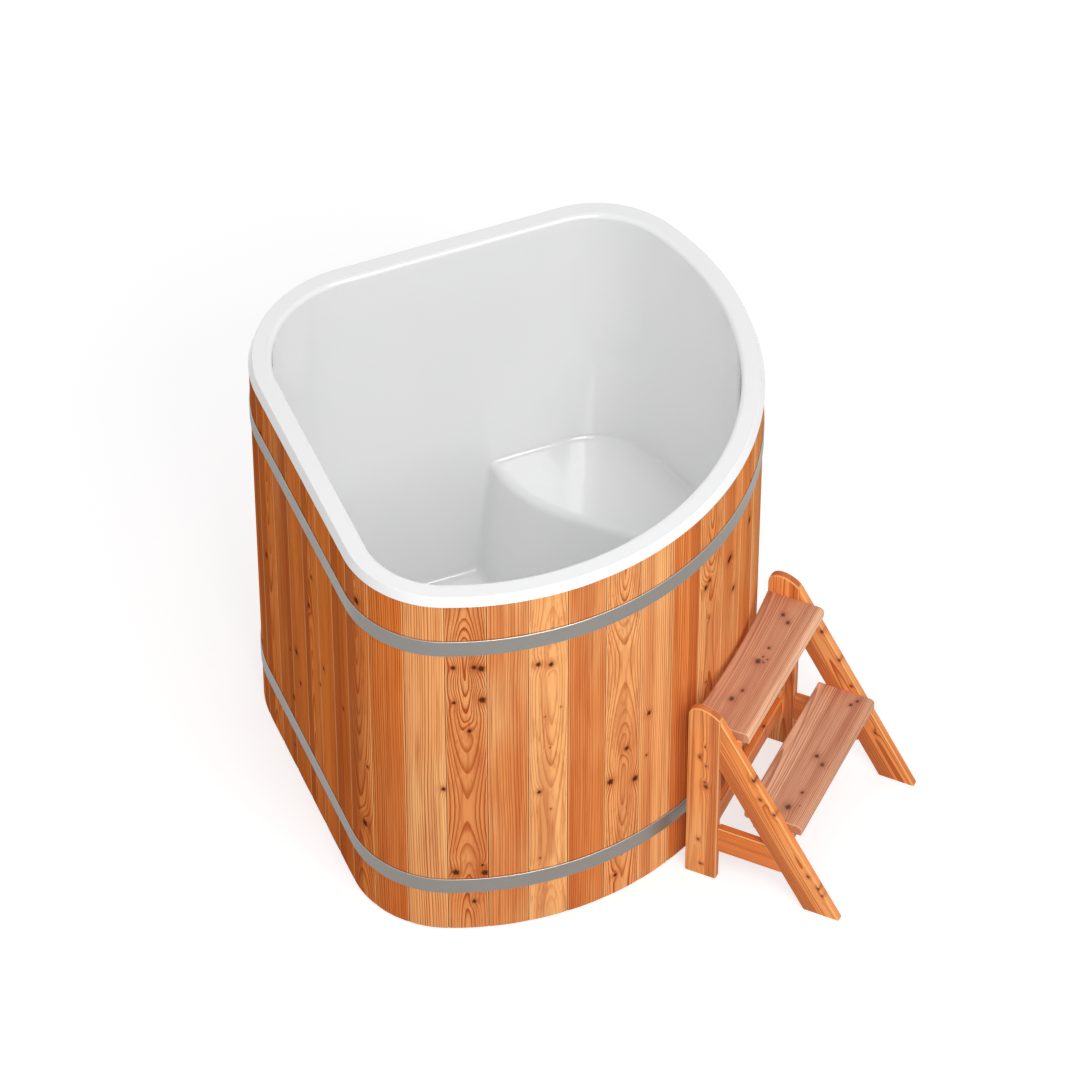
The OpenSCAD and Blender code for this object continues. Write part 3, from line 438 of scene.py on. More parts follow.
# Knots by stave: across from the stave's edge, height and radius, in millimetres
staveKnots = {
    24: [(87, 249, 5), (74, 401, 3), (81, 76, 3)], 26: [(90, 486, 3), (32, 695, 6), (55, 810, 4)],
    27: [(25, 568, 4)], 29: [(54, 1004, 7), (62, 266, 8), (78, 472, 3)], 31: [(88, 489, 4.5)],
    32: [(19, 894, 5), (82, 887, 7), (66, 893, 5), (20, 779, 4), (84, 784, 7), (54, 684, 4.5), (19, 201, 7),
         (86, 195, 7), (81, 222, 3), (61, 97, 4.5)],
    33: [], 34: [(23, 874, 5), (53, 865, 5), (25, 446, 4), (39, 696, 1.6), (51, 589, 1.6), (53, 379, 1.6),
                 (77, 716, 1.6), (27, 217, 2)],
    35: [], 36: [(58, 491, 5), (15, 401, 7), (84, 371, 7), (31, 66, 4)], 37: [(27, 569, 4.5), (22, 429, 2.5)],
    38: [], 39: [(24, 842, 6), (39, 854, 4), (35, 518, 2.5), (40, 729, 2.5)]}
knotRandom = random.Random(staveFacts["seed"])
for k in range(tub["staves"]):
    if k not in staveKnots:
        spots = knotRandom.choice((0, 1, 2, 3))
        staveKnots[k] = [(knotRandom.uniform(14, pitch - 14), knotRandom.uniform(60, 1060),
                          knotRandom.uniform(2.5, 6.5)) for _ in range(spots)]


def staveProfile():                      # across the stave and inward, round its section
    facts = staveFacts
    width, gap, eased = pitch, facts["gap"], facts["eased"]
    edge = [eased * (1 - math.cos(math.radians(part))) for part in (0, 22.5, 45, 67.5, 90)]
    ts = [gap + part for part in edge]
    ts += [gap + eased + (width - 2 * gap - 2 * eased) * part / 8 for part in range(1, 8)]
    ts += [width - gap - part for part in reversed(edge)]
    outer = []
    for t in ts:
        nearEdge = min(t - gap, width - gap - t)
        dip = eased - math.sqrt(max(eased ** 2 - (eased - nearEdge) ** 2, 0)) if nearEdge < eased else 0.0
        outer.append((t, dip + facts["crown"] * (2 * t / width - 1) ** 2))
    low, high, out = facts["tongue"]
    far = width - gap
    side = [(far, low), (far + out, low), (far + out, high), (far, high), (far, facts["thick"])]
    inner = [(width * part, facts["thick"]) for part in (0.75, 0.5, 0.25)] + [(gap, facts["thick"])]
    low, high, out = facts["groove"]
    back = [(gap, high), (gap + out, high), (gap + out, low), (gap, low)]
    return np.array(outer + side + inner + back), len(outer)


def heartAt(line, z):                    # how far behind the face the heart lies at a height
    for (low, first), (high, second) in zip(line, line[1:]):
        if z <= high:
            share = max(z - low, 0) / (high - low)
            return first + (second - first) * share * share * (3 - 2 * share)
    return line[-1][1]


def makeStaves():
    facts = staveFacts
    profile, outerCount = staveProfile()
    n = len(profile)
    ends = facts["low"] + facts["endRow"], facts["high"] - facts["endRow"]
    rows = [facts["low"], facts["low"] + facts["foot"], *np.linspace(*ends, facts["rows"]), facts["high"]]
    logs = random.Random(facts["seed"] + 1)
    for group in range((tub["staves"] + 1) // 2):
        points, faces, place, board, look, edges, spread = [], [], [], [], [], [], []
        for k in (2 * group, 2 * group + 1):
            if k >= tub["staves"]:
                continue
            kindName, tone, red, rings = staveLooks.get(k) or (
                logs.choice(("straight", "straight", "arched")), logs.uniform(0.1, 0.9), logs.uniform(0.0, 0.35),
                logs.uniform(0.45, 0.8))
            kind = staveKinds[kindName]
            across = logs.uniform(*kind["across"]) * (logs.choice((-1, 1)) if kindName == "straight" else 1)
            behind, lean = logs.uniform(*kind["behind"]), logs.uniform(*kind["lean"])
            lift, stretch = logs.uniform(1, 40), kind["stretch"]
            heartSide, heartWide = logs.choice((-1, 1)), logs.uniform(22, 46) * logs.choice((1, 1, -1))
            heartWide = -100 if k in plainStaves else heartWide
            turnOver = logs.choice((-100, 300, 1150))
            line = heartLines.get(k, [(turnOver - 800, behind), (turnOver, 50), (turnOver + 800, behind)])
            start = len(points)
            spot, out = outlineAt(k * pitch + profile[:, 0])
            for index, z in enumerate(rows):
                inset = profile[:, 1] + (facts["foot"] if index == 0 else 0.0) * (np.arange(n) < outerCount)
                points += [(x, y, z) for x, y in spot - out * inset[:, None]]
                board += [(u / 1000, d / 1000, z / 1000) for u, d in profile]
                heartAway = heartAt(line, z) if kindName == "arched" else behind + lean * (z - 500)
                place += [((u - pitch / 2 - across) / 1000 / stretch, (d + heartAway) / 1000 / stretch,
                           z / 1000 + lift) for u, d in profile]
                look += [(tone, red, rings)] * n
                edges += [(min(u, pitch - u) / 1000, ((u if heartSide > 0 else pitch - u) - heartWide) / 1000,
                           z / 1000) for u, d in profile]
            spread += [k] * (n * len(rows))
            for row in range(len(rows) - 1):
                for i in range(n):
                    j = (i + 1) % n
                    a, b = start + row * n, start + (row + 1) * n
                    faces.append((a + i, a + j, b + j, b + i))
            faces.append(tuple(start + i for i in reversed(range(n))))
            faces.append(tuple(start + (len(rows) - 1) * n + i for i in range(n)))
        piece = newPiece(f"stavePair{group + 1:02d}", points, faces, staveWood, "tub",
                         f"staves_{group + 1:02d}",
                         dict(logPlace=place, boardPlace=board, boardLook=look, edgePlace=edges,
                              grainWay=[(0, 0, 1)] * len(points)))
        placeKnots(piece.data, staveKnots, np.array(spread))
        smoothOver(piece.data, 40)


makeStaves()
print("staves made")

# The liner. Its inside is where a ray from a point in the tub meets the smooth wall, floor, seat and drain pad
liner = dict(skin=6.0, rimTop=1112.0, lip=1089.0, over=1.0, rimIn=54.0, soft=2.5, faceLean=9.5, edgeRound=3.0,
             innerRound=12.0, wallIn=36.5, draft=2.0, low=40.0, well=46.0, floorRound=22.0,
             seat=388.0, seatFront=336.0, bendRound=370.0, bendAt=-160.0, lean=7.0, seatEdge=20.0, seatFillet=13.0,
             drain=(248.22, 357.06, 86.0), padIn=4.0, padRound=36.0, padSoft=3.0, padFillet=5.0, flange=24.0,
             outside=(900, 760, 700, 640, 600, 560, 500, 420, 300, 41))
# How its mesh is laid: the rays' start, rings and columns, and how much more closely they stand at a bend
rays = dict(centre=(-50.0, -150.0, 760.0), top=1084.0, columns=400, rows=190, far=1400.0, turns=90, step=0.4,
            heights=(70.0, 200.0, 340.0, 420.0), fine=1800, wide=25, samples=700, bend=90)
wallTop = liner["rimTop"] - liner["innerRound"]


def wallInAt(z):                         # the wall leans in downward, and stands upright under the rim
    leaning = liner["wallIn"] + (wallTop - z) * math.tan(math.radians(liner["draft"]))
    return liner["rimIn"] + liner["soft"] * np.logaddexp(0, (leaning - liner["rimIn"]) / liner["soft"])


def roundMin(a, b, radius):              # the lesser of two depths, with the corner between them filled to a radius
    return np.maximum(radius, np.minimum(a, b)) - np.hypot(np.maximum(radius - a, 0), np.maximum(radius - b, 0))


def depthOf(p):                          # how far a point lies inside the hollow of the liner
    x, y, z = p[..., 0], p[..., 1], p[..., 2]
    leanWall = math.cos(math.radians(liner["draft"]))
    wall = (inwardOf(x, y) - wallInAt(z)) * leanWall
    cup = roundMin(wall, z - liner["well"], liner["floorRound"])
    front = liner["seatFront"] - (liner["seat"] - z) * math.tan(math.radians(liner["lean"]))
    heartX = liner["seatFront"] + liner["bendRound"]
    reach = np.where(y > liner["bendAt"], np.hypot(x - heartX, y - liner["bendAt"]), heartX - x)
    beyond = (heartX - front - reach) * math.cos(math.radians(liner["lean"]))
    seat = -roundMin(beyond, liner["seat"] - z, liner["seatEdge"])
    hollow = roundMin(cup, seat, liner["seatFillet"])
    dx, dy = x - liner["drain"][0], y - liner["drain"][1]
    out = (dx + dy) * diagonal
    reach = np.hypot((dy - dx) * diagonal, z - liner["drain"][2])
    pad = -roundMin(out + wallInAt(liner["drain"][2]) + liner["padIn"], liner["padRound"] - reach, liner["padSoft"])
    return roundMin(hollow, pad, liner["padFillet"])


def castRays(start, ways):
    went = np.zeros(ways.shape[:-1])
    for _ in range(rays["turns"]):
        went = np.minimum(went + depthOf(start + ways * went[..., None]) * 0.94, rays["far"])
    return start + ways * went[..., None]


def slopeOf(p):                          # the way into the hollow
    parts = []
    for which in range(3):
        move = np.zeros(3)
        move[which] = rays["step"]
        parts.append(depthOf(p + move) - depthOf(p - move))
    slope = np.stack(parts, -1)
    return slope / np.maximum(np.linalg.norm(slope, axis=-1, keepdims=True), 1e-9)


def makeLiner():
    centre = np.array(rays["centre"])
    # Columns stand closer where the plan turns sharply
    fine = np.linspace(-math.pi, math.pi, rays["fine"] + 1)
    weight = np.full(rays["fine"], 1.0)
    for height in rays["heights"]:
        ways = np.stack([np.cos(fine), np.sin(fine), np.zeros_like(fine)], -1)
        found = castRays(np.array([centre[0], centre[1], height]), ways)
        bend = np.linalg.norm(np.diff(slopeOf(found), axis=0), axis=-1)
        weight += np.minimum(bend * 260, 5.0) * 0.35
    wide, past = rays["wide"], rays["wide"] // 2
    weight = np.convolve(np.concatenate([weight[-past:], weight, weight[:past]]), np.ones(wide) / wide, "valid")
    total = np.concatenate([[0], np.cumsum(weight)])
    angles = np.interp(np.arange(rays["columns"]) / rays["columns"] * total[-1], total, fine)
    # The top of the rays' part, a ring just under the rim's inner round
    flatWays = np.stack([np.cos(angles), np.sin(angles)], -1)
    near, far = np.zeros(len(angles)), np.full(len(angles), 1000.0)
    topIn = wallInAt(rays["top"])
    for _ in range(50):
        mid = (near + far) / 2
        inside = inwardOf(centre[0] + flatWays[:, 0] * mid, centre[1] + flatWays[:, 1] * mid) > topIn
        near, far = np.where(inside, mid, near), np.where(inside, far, mid)
    ringX, ringY = centre[0] + flatWays[:, 0] * near, centre[1] + flatWays[:, 1] * near
    top = np.arctan2(rays["top"] - centre[2], near)
    # Rows close up where the shape bends
    share = np.linspace(0, 1, rays["samples"])
    lifts = top[:, None] + (-math.pi / 2 - top[:, None]) * share[None, :]

    def waysAt(lifts):
        flat = np.cos(lifts)
        return np.stack([flat * np.cos(angles)[:, None], flat * np.sin(angles)[:, None], np.sin(lifts)], -1)

    found = castRays(centre, waysAt(lifts))
    slope = slopeOf(found)
    length = np.linalg.norm(np.diff(found, axis=1), axis=-1)
    bend = np.linalg.norm(np.diff(slope, axis=1), axis=-1)
    total = np.concatenate([np.zeros((len(angles), 1)), np.cumsum(length + rays["bend"] * bend, axis=1)], 1)
    chosen = np.zeros((len(angles), rays["rows"]))
    for column in range(len(angles)):
        chosen[column] = np.interp(np.linspace(0, total[column, -1], rays["rows"]), total[column], lifts[column])
    points = castRays(centre, waysAt(chosen[:, :-1]))
    slopes = slopeOf(points)
    points[:, 0] = np.stack([ringX, ringY, np.full(len(angles), rays["top"])], -1)
    # The rim above them, out over the staves, and the plain outside of the shell
    e = 0.5
    outWay = -np.stack([inwardOf(ringX + e, ringY) - inwardOf(ringX - e, ringY),
                        inwardOf(ringX, ringY + e) - inwardOf(ringX, ringY - e)], -1) / (2 * e)
    outWay /= np.linalg.norm(outWay, axis=-1, keepdims=True)
    at = inwardOf(ringX, ringY)

    def arc(heartOut, heartUp, radius, first, last, count):
        turns = np.radians(np.linspace(first, last, count))
        return [(heartOut + radius * math.cos(a), heartUp + radius * math.sin(a), math.cos(a), math.sin(a))
                for a in turns]

    rim = arc(liner["innerRound"] - wallInAt(wallTop), wallTop, liner["innerRound"], 180, 90, 9)
    # The outer face leans in toward the top, up to a small round edge
    tilt = math.atan2(liner["faceLean"], liner["rimTop"] - liner["lip"])
    edge, edgeUp = liner["edgeRound"], liner["rimTop"] - liner["edgeRound"]
    edgeOut = liner["over"] - (edge + math.sin(tilt) * (edgeUp - liner["lip"])) / math.cos(tilt)
    rim += arc(edgeOut, edgeUp, edge, 90, math.degrees(tilt), 7)
    skin, low, underRim = liner["skin"], liner["low"], liner["rimTop"] - liner["skin"]
    lipOut, lip = liner["over"], liner["lip"]
    rim += [(lipOut - 0.2, lip + 0.6, math.cos(tilt), math.sin(tilt)), (lipOut - 0.6, lip, 0, -1),
            (lipOut - skin, lip, 0, -1), (lipOut - skin - liner["faceLean"], underRim, -1, 0),
            (skin - wallInAt(underRim), underRim, 0, -1), (skin - wallInAt(underRim) - 0.5, underRim - 4, 1, 0)]
    rim += [(skin - wallInAt(z), z, 1, 0) for z in liner["outside"]]
    rim += [(skin - wallInAt(low) - 1, low, 0, -1)]
    n = len(angles)
    allPoints = [np.array([[centre[0], centre[1], liner["well"]]])]
    normals = [np.array([[0.0, 0.0, 1.0]])]
    for row in reversed(range(points.shape[1])):
        allPoints.append(points[:, row])
        normals.append(slopes[:, row])
    for outward, up, wayOut, wayUp in rim:
        flat = np.stack([ringX, ringY], -1) + outWay * (at + outward)[:, None]
        allPoints.append(np.column_stack([flat, np.full(n, up)]))
        normals.append(np.column_stack([outWay * wayOut, np.full(n, wayUp)]))
    allPoints, normals = np.concatenate(allPoints), np.concatenate(normals)
    ringCount = points.shape[1] + len(rim)
    faces = [(0, 1 + i, 1 + (i + 1) % n) for i in range(n)]
    for ring in range(ringCount - 1):
        a, b = 1 + ring * n, 1 + (ring + 1) * n
        faces += [(a + i, b + i, b + (i + 1) % n, a + (i + 1) % n) for i in range(n)]
    last = 1 + (ringCount - 1) * n
    faces.append(tuple(last + i for i in range(n)))
    # The way through the drain pad, hidden behind the drain's flange
    middles = np.array([allPoints[list(face[:4])].mean(0) for face in faces[:-1]])
    dx, dy = middles[:, 0] - liner["drain"][0], middles[:, 1] - liner["drain"][1]
    around = np.hypot((dy - dx) * diagonal, middles[:, 2] - liner["drain"][2])
    hole = (around < liner["flange"]) & ((dx + dy) * diagonal > -120)
    faces = [face for face, gone in zip(faces[:-1], hole) if not gone] + [faces[-1]]
    piece = newPiece("linerShell", allPoints, faces, gelcoat, "tub", "liner")
    piece.data.polygons.foreach_set("use_smooth", np.ones(len(piece.data.polygons), bool))
    piece.data.normals_split_custom_set_from_vertices([tuple(v) for v in normals])


makeLiner()
print("liner made")

# Hoops: flat strips round the staves, their ends bent out into the lugs of the lock
hoops = dict(heights=dict(upper=956.0, lower=154.0), width=46.0, thick=2.0, fit=0.3, gap=34.0, lug=24.0, bend=2.0,
             edge=0.5, parts=420)


def makeHoop(name, z):
    facts = hoops
    inner, outer, half, e = facts["fit"], facts["fit"] + facts["thick"], facts["width"] / 2, facts["edge"]
    section = [(inner, -half), (outer - e, -half), (outer, e - half), (outer, half - e), (outer - e, half),
               (inner, half)]
    lock = frontLength + sideLength + wallLength / 2
    reach = facts["gap"] / 2 + facts["bend"] + facts["thick"]
    path = np.linspace(lock + reach, lock + 2 * halfLength - reach, facts["parts"])
    spot, out = outlineAt(path)
    rings = [[(*(spot[i] + out[i] * depth), z + up) for depth, up in section] for i in range(len(path))]
    alongs = list(path)
    for end, sign in ((0, -1), (-1, 1)):
        way = np.array([-out[end][1], out[end][0]]) * sign
        heart = spot[end] + out[end] * (outer + facts["bend"])
        turned, lengths = [], []
        for part in (22.5, 45, 67.5, 90, None):
            ring = []
            for depth, up in section:
                radius = facts["bend"] + outer - depth
                if part is None:
                    flat = heart + way * radius + out[end] * (facts["lug"] - facts["bend"])
                else:
                    a = math.radians(part)
                    flat = heart - out[end] * radius * math.cos(a) + way * radius * math.sin(a)
                ring.append((*flat, z + up))
            turned.append(ring)
            lengths.append(alongs[end] + sign * (facts["lug"] if part is None else part / 30))
        if end == 0:
            rings, alongs = turned[::-1] + rings, lengths[::-1] + alongs
        else:
            rings, alongs = rings + turned, alongs + lengths
    n = len(section)
    points = [point for ring in rings for point in ring]
    strip = [(along / 1000, up / 1000, 0) for along in alongs for depth, up in section]
    faces = [(a * n + i, a * n + (i + 1) % n, (a + 1) * n + (i + 1) % n, (a + 1) * n + i)
             for a in range(len(rings) - 1) for i in range(n)]
    faces += [tuple(reversed(range(n))), tuple((len(rings) - 1) * n + i for i in range(n))]
    piece = newPiece(name + "Hoop", points, faces, hoopSteel, "tub", name + "_hoop",
                     dict(stripPlace=strip))
    smoothOver(piece.data, 30)


for name, z in hoops["heights"].items():
    makeHoop(name, z)
print("hoops made")

# The ladder, in its own place in millimetres, then turned and moved to stand at the tub
ladder = dict(width=485.0, thick=20.0, board=79.0, post=568.0, backRound=30.0, rise=22.0, lean=60.0, back=-720.5,
              turn=-1.7, left=17.0, rail=98.0, railSet=3.0, treadDeep=145.0, treadThick=29.0, nose=12.0, edge=5.0,
              hollow=11.0, topTread=510.0, lowTread=257.0, lowBack=138.0, crossLow=107.0, crossHigh=157.0,
              crossThick=18.0, crossBack=32.0, cleatWide=20.0, cleatHigh=24.0, cleatLong=110.0, cleatBack=15.0,
              cleatShort=8, fit=0.2, bevel=3.2, cutFirst=30, cutStep=34)
half = ladder["width"] / 2
postFront = ladder["back"] - ladder["board"]
legTop = ladder["post"] - ladder["rise"]
slope = math.tan(math.radians(ladder["lean"]))
legUnder = legTop - ladder["board"] / math.cos(math.radians(ladder["lean"]))
legFront = postFront - legTop / slope
legFoot = ladder["board"] / math.sin(math.radians(ladder["lean"]))
railTop = ladder["rail"] + ladder["board"]
innerHalf = half - ladder["thick"]


def underAt(z):
    return postFront - (legUnder - z) / slope


def arcAt(heart, radius, first, last, count):
    turns = [math.radians(first + (last - first) * i / count) for i in range(count + 1)]
    return [(heart[0] + radius * math.cos(a), heart[1] + radius * math.sin(a)) for a in turns]


def boxAt(front, rear, low, high):
    return [(front, low), (rear, low), (rear, high), (front, high)]


# A board sawn to an outline and grained along x or at an angle. heart says where its log's heart lies
def sawBoard(name, node, outline, low, high, grain, look, knots, material, heart, bevel=ladder["bevel"],
             hollow=0.0, stripe=(1, -1000)):
    bm = bmesh.new()
    near = [bm.verts.new((low, y, z)) for y, z in outline]
    far = [bm.verts.new((high, y, z)) for y, z in outline]
    bm.faces.new(near)
    bm.faces.new(list(reversed(far)))
    n = len(outline)
    for i in range(n):
        bm.faces.new((near[(i + 1) % n], near[i], far[i], far[(i + 1) % n]))
    bmesh.ops.recalc_face_normals(bm, faces=bm.faces[:])
    sharp = [edge for edge in bm.edges if edge.calc_face_angle(0) > math.radians(28)]
    rounded = set(bmesh.ops.bevel(bm, geom=sharp, offset=bevel, segments=3, profile=0.5, affect="EDGES",
                                  clamp_overlap=True)["faces"])
    # Faces made by the bevel carry a painted highlight along the board's edges
    edgeShine = bm.verts.layers.float.new("edgeShine")
    for vert in bm.verts:
        vert[edgeShine] = float(all(face in rounded for face in vert.link_faces))
    way = Vector((1, 0, 0))
    across, deep = Vector((0, 1, 0)), Vector((0, 0, -1))
    if grain != "x":
        way = Vector((0, math.cos(math.radians(grain)), math.sin(math.radians(grain))))
        across, deep = Vector((0, -way.z, way.y)), Vector((1, 0, 0))
    reach = [vert.co.dot(way) for vert in bm.verts]
    for cut in np.arange(min(reach) + ladder["cutFirst"], max(reach) - 10, ladder["cutStep"]):
        bmesh.ops.bisect_plane(bm, geom=bm.verts[:] + bm.edges[:] + bm.faces[:], plane_co=way * cut, plane_no=way,
                               dist=0.01)
    bm.verts.ensure_lookup_table()
    shineOn = [vert[edgeShine] for vert in bm.verts]
    board = [(vert.co.dot(across) / 1000, vert.co.dot(deep) / 1000, vert.co.dot(way) / 1000) for vert in bm.verts]
    if hollow:
        halfLong, back = high, max(y for y, z in outline)
        for vert in bm.verts:
            share = min(max((vert.co.y - back + 60) / 50, 0), 1)
            vert.co.y -= hollow * (1 - min((vert.co.x / halfLong) ** 2, 1)) * share
    turned = Matrix.Rotation(math.radians(ladder["turn"]), 4, "Z") @ Matrix.Translation((-ladder["left"], 0, 0))
    points = [tuple(turned @ vert.co) for vert in bm.verts]
    faces = [tuple(vert.index for vert in face.verts) for face in bm.faces]
    bm.free()
    centreAcross = (min(b[0] for b in board) + max(b[0] for b in board)) / 2
    topDeep = min(b[1] for b in board)
    board = [(a - centreAcross, b - topDeep, c) for a, b, c in board]
    x0, y0, leanLog, lift = heart
    place = [(a - x0 / 1000, b + y0 / 1000 + leanLog * c, c + lift) for a, b, c in board]
    # the bevel's middle falls in the band of painted highlight
    edges = [(0.0036 - 0.0016 * pale, a * stripe[0] - stripe[1] / 1000, 9) for (a, b, c), pale in zip(board, shineOn)]
    grainWay = [tuple(turned.to_3x3() @ way)] * len(points)
    piece = newPiece(name, points, faces, material, "ladder", node,
                     dict(logPlace=place, boardPlace=board, boardLook=[look] * len(points), grainWay=grainWay,
                          edgePlace=edges))
    placeKnots(piece.data, {0: knots}, np.zeros(len(points), int))
    smoothOver(piece.data, 32)


def makeLadder():
    f = ladder
    crown = (f["back"] - f["backRound"], f["post"] - f["backRound"])
    slopeLong = f["board"] - f["backRound"]
    post = [(postFront, 0), (f["back"], 0)] + arcAt(crown, f["backRound"], 0, 90, 10)
    post += [(crown[0] - slopeLong * i / 8, f["post"] - f["rise"] * (i / 8) ** 2) for i in range(1, 9)]
    leg = [(postFront, legUnder), (postFront, legTop), (legFront, 0), (legFront + legFoot, 0)]
    rail = [(postFront, f["rail"]), (postFront, railTop), (underAt(railTop), railTop),
            (underAt(f["rail"]), f["rail"])]
    for side, sign in (("left", -1), ("right", 1)):
        low = -half if sign < 0 else half - f["thick"]
        high = low + f["thick"]
        shift = 0.0 if sign < 0 else 0.35
        sawBoard(side + "Post", side + "_post", post, low, high, 90, (0.8, 0.0, 0.55), postKnots[side],
                 frameWood, (sign * 14.0, 26.0, 0.014, 3.0 + shift * 9), stripe=(-1, -14.5))
        sawBoard(side + "Leg", side + "_leg", leg, low, high, f["lean"], (0.5, 0.06, 0.6), legKnots[side],
                 frameWood, (26.0 - shift * 40, 40.0, 0.008, 11.0 + shift * 7), stripe=(1, -8))
        setIn = f["railSet"] * -sign
        sawBoard(side + "Rail", side + "_rail", rail, low + setIn, high + setIn, 0, (0.0, 0.35, 0.75), [],
                 frameWood, (60.0, 30.0, 0.006, 17.0 + shift * 5))
        inner = -innerHalf if sign < 0 else innerHalf - f["cleatWide"]
        lowBack = f["back"] - f["lowBack"]
        for level, back, top in (("top", f["back"], f["topTread"]), ("low", lowBack, f["lowTread"])):
            front = back - f["cleatBack"] - f["cleatLong"]
            rear = front + f["cleatLong"] - (f["cleatShort"] if level == "low" else 0)   # hidden by the leg
            under = top - f["treadThick"]
            sawBoard(level + side.capitalize() + "Cleat", f"{level}_{side}_cleat",
                     boxAt(front, rear, under - f["cleatHigh"], under), inner, inner + f["cleatWide"], 0,
                     (0.7, 0.05, 0.5), [], frameWood, (30.0, 20.0, 0.0, 23.0 + shift), 1.2)
    long = innerHalf - f["fit"]
    for name, node, back, top, hollow, stripe in (
            ("topTread", "top_tread", f["back"], f["topTread"], f["hollow"], (-1, 54)),
            ("lowerTread", "lower_tread", f["back"] - f["lowBack"], f["lowTread"], 0.0, (1, 17))):
        under, nose, e = top - f["treadThick"], back - f["treadDeep"], f["edge"]
        outline = [(back, under + e)] + arcAt((back - e, top - e), e, 0, 90, 4)
        outline += arcAt((nose + f["nose"], top - f["nose"]), f["nose"], 90, 180, 8)
        outline += arcAt((nose + e, under + e), e, 180, 270, 4) + [(back - e, under)]
        sawBoard(name, node, outline, -long, long, "x", (0.5, 0.05, 0.5), treadKnots[name], treadWood,
                 (66.0, 34.0, 0.02, 31.0 if hollow else 31.4), 2.0, hollow, stripe)
    cross = f["back"] - f["crossBack"]
    box = boxAt(cross - f["crossThick"], cross, f["crossLow"], f["crossHigh"])
    sawBoard("crossbar", "crossbar", box, -long, long, "x", (0.35, 0.25, 0.6), [(4, -60, 4), (-3, 120, 3)],
             frameWood, (50.0, 30.0, 0.004, 41.0), 2.5)


# Knots as across, along and radius, across counted from the middle of each board
postKnots = dict(left=[(4, 447, 2.2), (-8, 407, 2.8), (8, 383, 2.4), (9, 312, 5), (6, 326, 2.4), (-7, 122, 2.6),
                       (7, 54, 2), (0, 40, 2.6), (5, 39, 1.8)],
                 right=[(5, 440, 3), (-8, 300, 4), (3, 190, 3)])
legKnots = dict(left=[(36, -109, 4), (23, -167, 3), (36, -217, 3), (28, -412, 3), (36, -452, 3), (36, -474, 2.6)],
                right=[(34, -60, 4), (36, -150, 3), (28, -232, 3), (36, -300, 3), (20, -380, 3)])
treadKnots = dict(
    topTread=[(10, 163, 4.2), (-10, 144, 4.2), (1, 51, 3), (9, 2, 6), (-5, 4, 2), (-11, 16, 2), (-18, 3, 2),
              (3, 20, 2), (16, -132, 5), (3, -98, 3.4)],
    lowerTread=[(-37, 200, 3.4), (-27, 183, 3.6), (-17, 0, 4.2), (-39, -20, 4.2), (-30, -120, 3), (-18, -175, 6),
                (-41, -158, 2), (-47, -172, 2)])
makeLadder()
print("ladder made")

# The pieces kept as they are in the frame
kept = dict(lock_bolts=boltSteel, floor_screws=boltSteel, ladder_screws=boltSteel, left_bearer=bearerWood,
            middle_bearer=bearerWood, right_bearer=bearerWood, floor_boards=boardWood, frame_dowels=dowelWood,
            drain_fitting=drainBrass, drain_nut=drainBrass, valve_body=drainBrass, hose_tail=drainBrass,
            drain_gasket=sealRubber, drain_stopper=sealRubber, stopper_ring=valveSteel, valve_ball=valveSteel,
            valve_spindle=valveSteel, lever_nut=valveSteel, valve_lever=leverPaint)
for name, material in kept.items():
    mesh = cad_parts[name].data
    mesh.materials.clear()
    mesh.materials.append(material)
print("kept pieces finished")

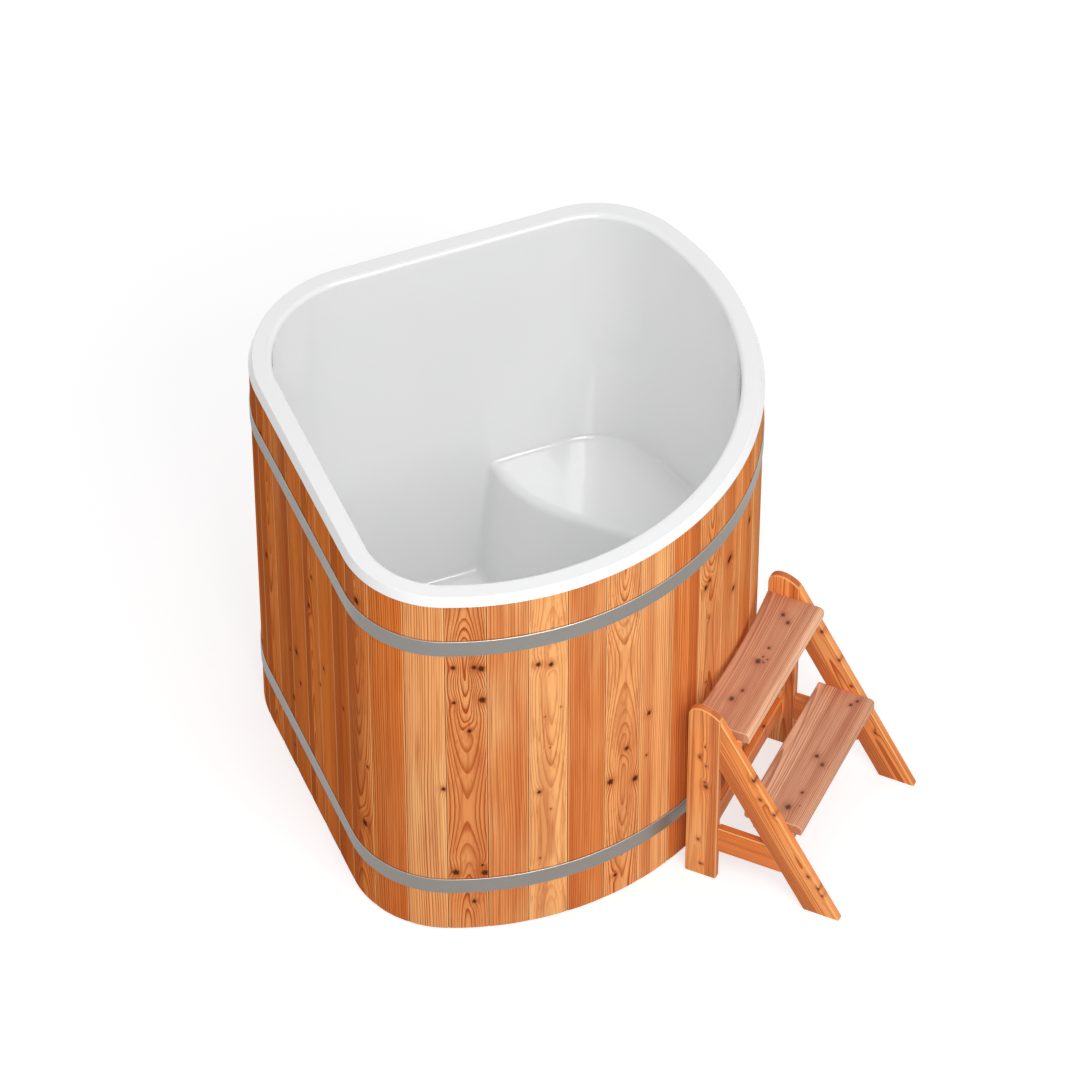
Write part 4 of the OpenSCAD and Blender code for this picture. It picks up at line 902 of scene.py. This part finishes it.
# Floor, sky and lamps
studio = dict(skyLow=0.57, skyTop=0.25, floorShade=shade(186, 186, 187), floorBounce=0.5, floorGlow=0.65,
              floorHalf=30, bounces=10, aim=(0, 0, 0.6), stripAim=(0.35, -0.52, 1.12),
              keyPower=165.0, keySize=(3.2, 2.6), keyPlace=(-3.24, -3.47, 5.03),
              fillPower=58.0, fillSize=(4.0, 0.8), fillPlace=(-4.1, -4.4, 0.62),
              stripPower=190.0, stripSize=(2.8, 1.2), stripPlace=(-1.96, -3.7, 5.65))
air = Recipe(bpy.data.worlds.new("sky"))
bpy.context.scene.world = air.owner
height = air.node("TexCoord", {}, {}, 0).axis(2).does("MAXIMUM", 0.0)
plain = air.seen()
level = (height ** 4.0 * studio["skyTop"] + studio["skyLow"]) * (1.0 - plain) + plain
glow = air.node("Background", {}, {"Color": (1, 1, 1, 1), "Strength": level})
air.node("OutputWorld", {}, {"Surface": glow}, None)

ground = Recipe(bpy.data.materials.new("floor"))
bounce = studio["floorBounce"]
hidden = ground.node("BsdfDiffuse", {}, {"Color": (bounce, bounce, bounce, 1)})
matt = ground.node("BsdfDiffuse", {}, {"Color": studio["floorShade"]})
lit = ground.node("Emission", {}, {"Color": (1, 1, 1, 1), "Strength": studio["floorGlow"]})
shown = ground.node("AddShader", {}, {0: matt, 1: lit})
both = ground.node("MixShader", {}, {0: ground.seen(), 1: hidden, 2: shown})
ground.node("OutputMaterial", {}, {"Surface": both}, None)
floorMesh = bpy.data.meshes.new("floor")
away = studio["floorHalf"]
floorMesh.from_pydata([(-away, -away, 0), (away, -away, 0), (away, away, 0), (-away, away, 0)], [], [(0, 1, 2, 3)])
floorMesh.materials.append(ground.owner)
floor = bpy.data.objects.new("floor", floorMesh)
bpy.context.scene.collection.objects.link(floor)


def makeLamp(name, aim):
    place = studio[name + "Place"]
    lamp = bpy.data.objects.new(name, bpy.data.lights.new(name, "AREA"))
    lamp.data.energy = studio[name + "Power"]
    lamp.data.shape = "RECTANGLE"
    lamp.data.size, lamp.data.size_y = studio[name + "Size"]
    lamp.location = place
    lamp.rotation_euler = (Vector(aim) - Vector(place)).to_track_quat("-Z", "Y").to_euler()
    bpy.context.scene.collection.objects.link(lamp)
    return lamp


makeLamp("key", studio["aim"])
makeLamp("fill", studio["aim"])          # stays below the rim
strip = makeLamp("strip", studio["stripAim"])
strip.visible_diffuse = False            # only there to be mirrored in the gelcoat
bpy.context.scene.cycles.diffuse_bounces = studio["bounces"]   # the white liner is deep
bpy.context.scene.view_settings.view_transform = "Standard"
print("studio made")
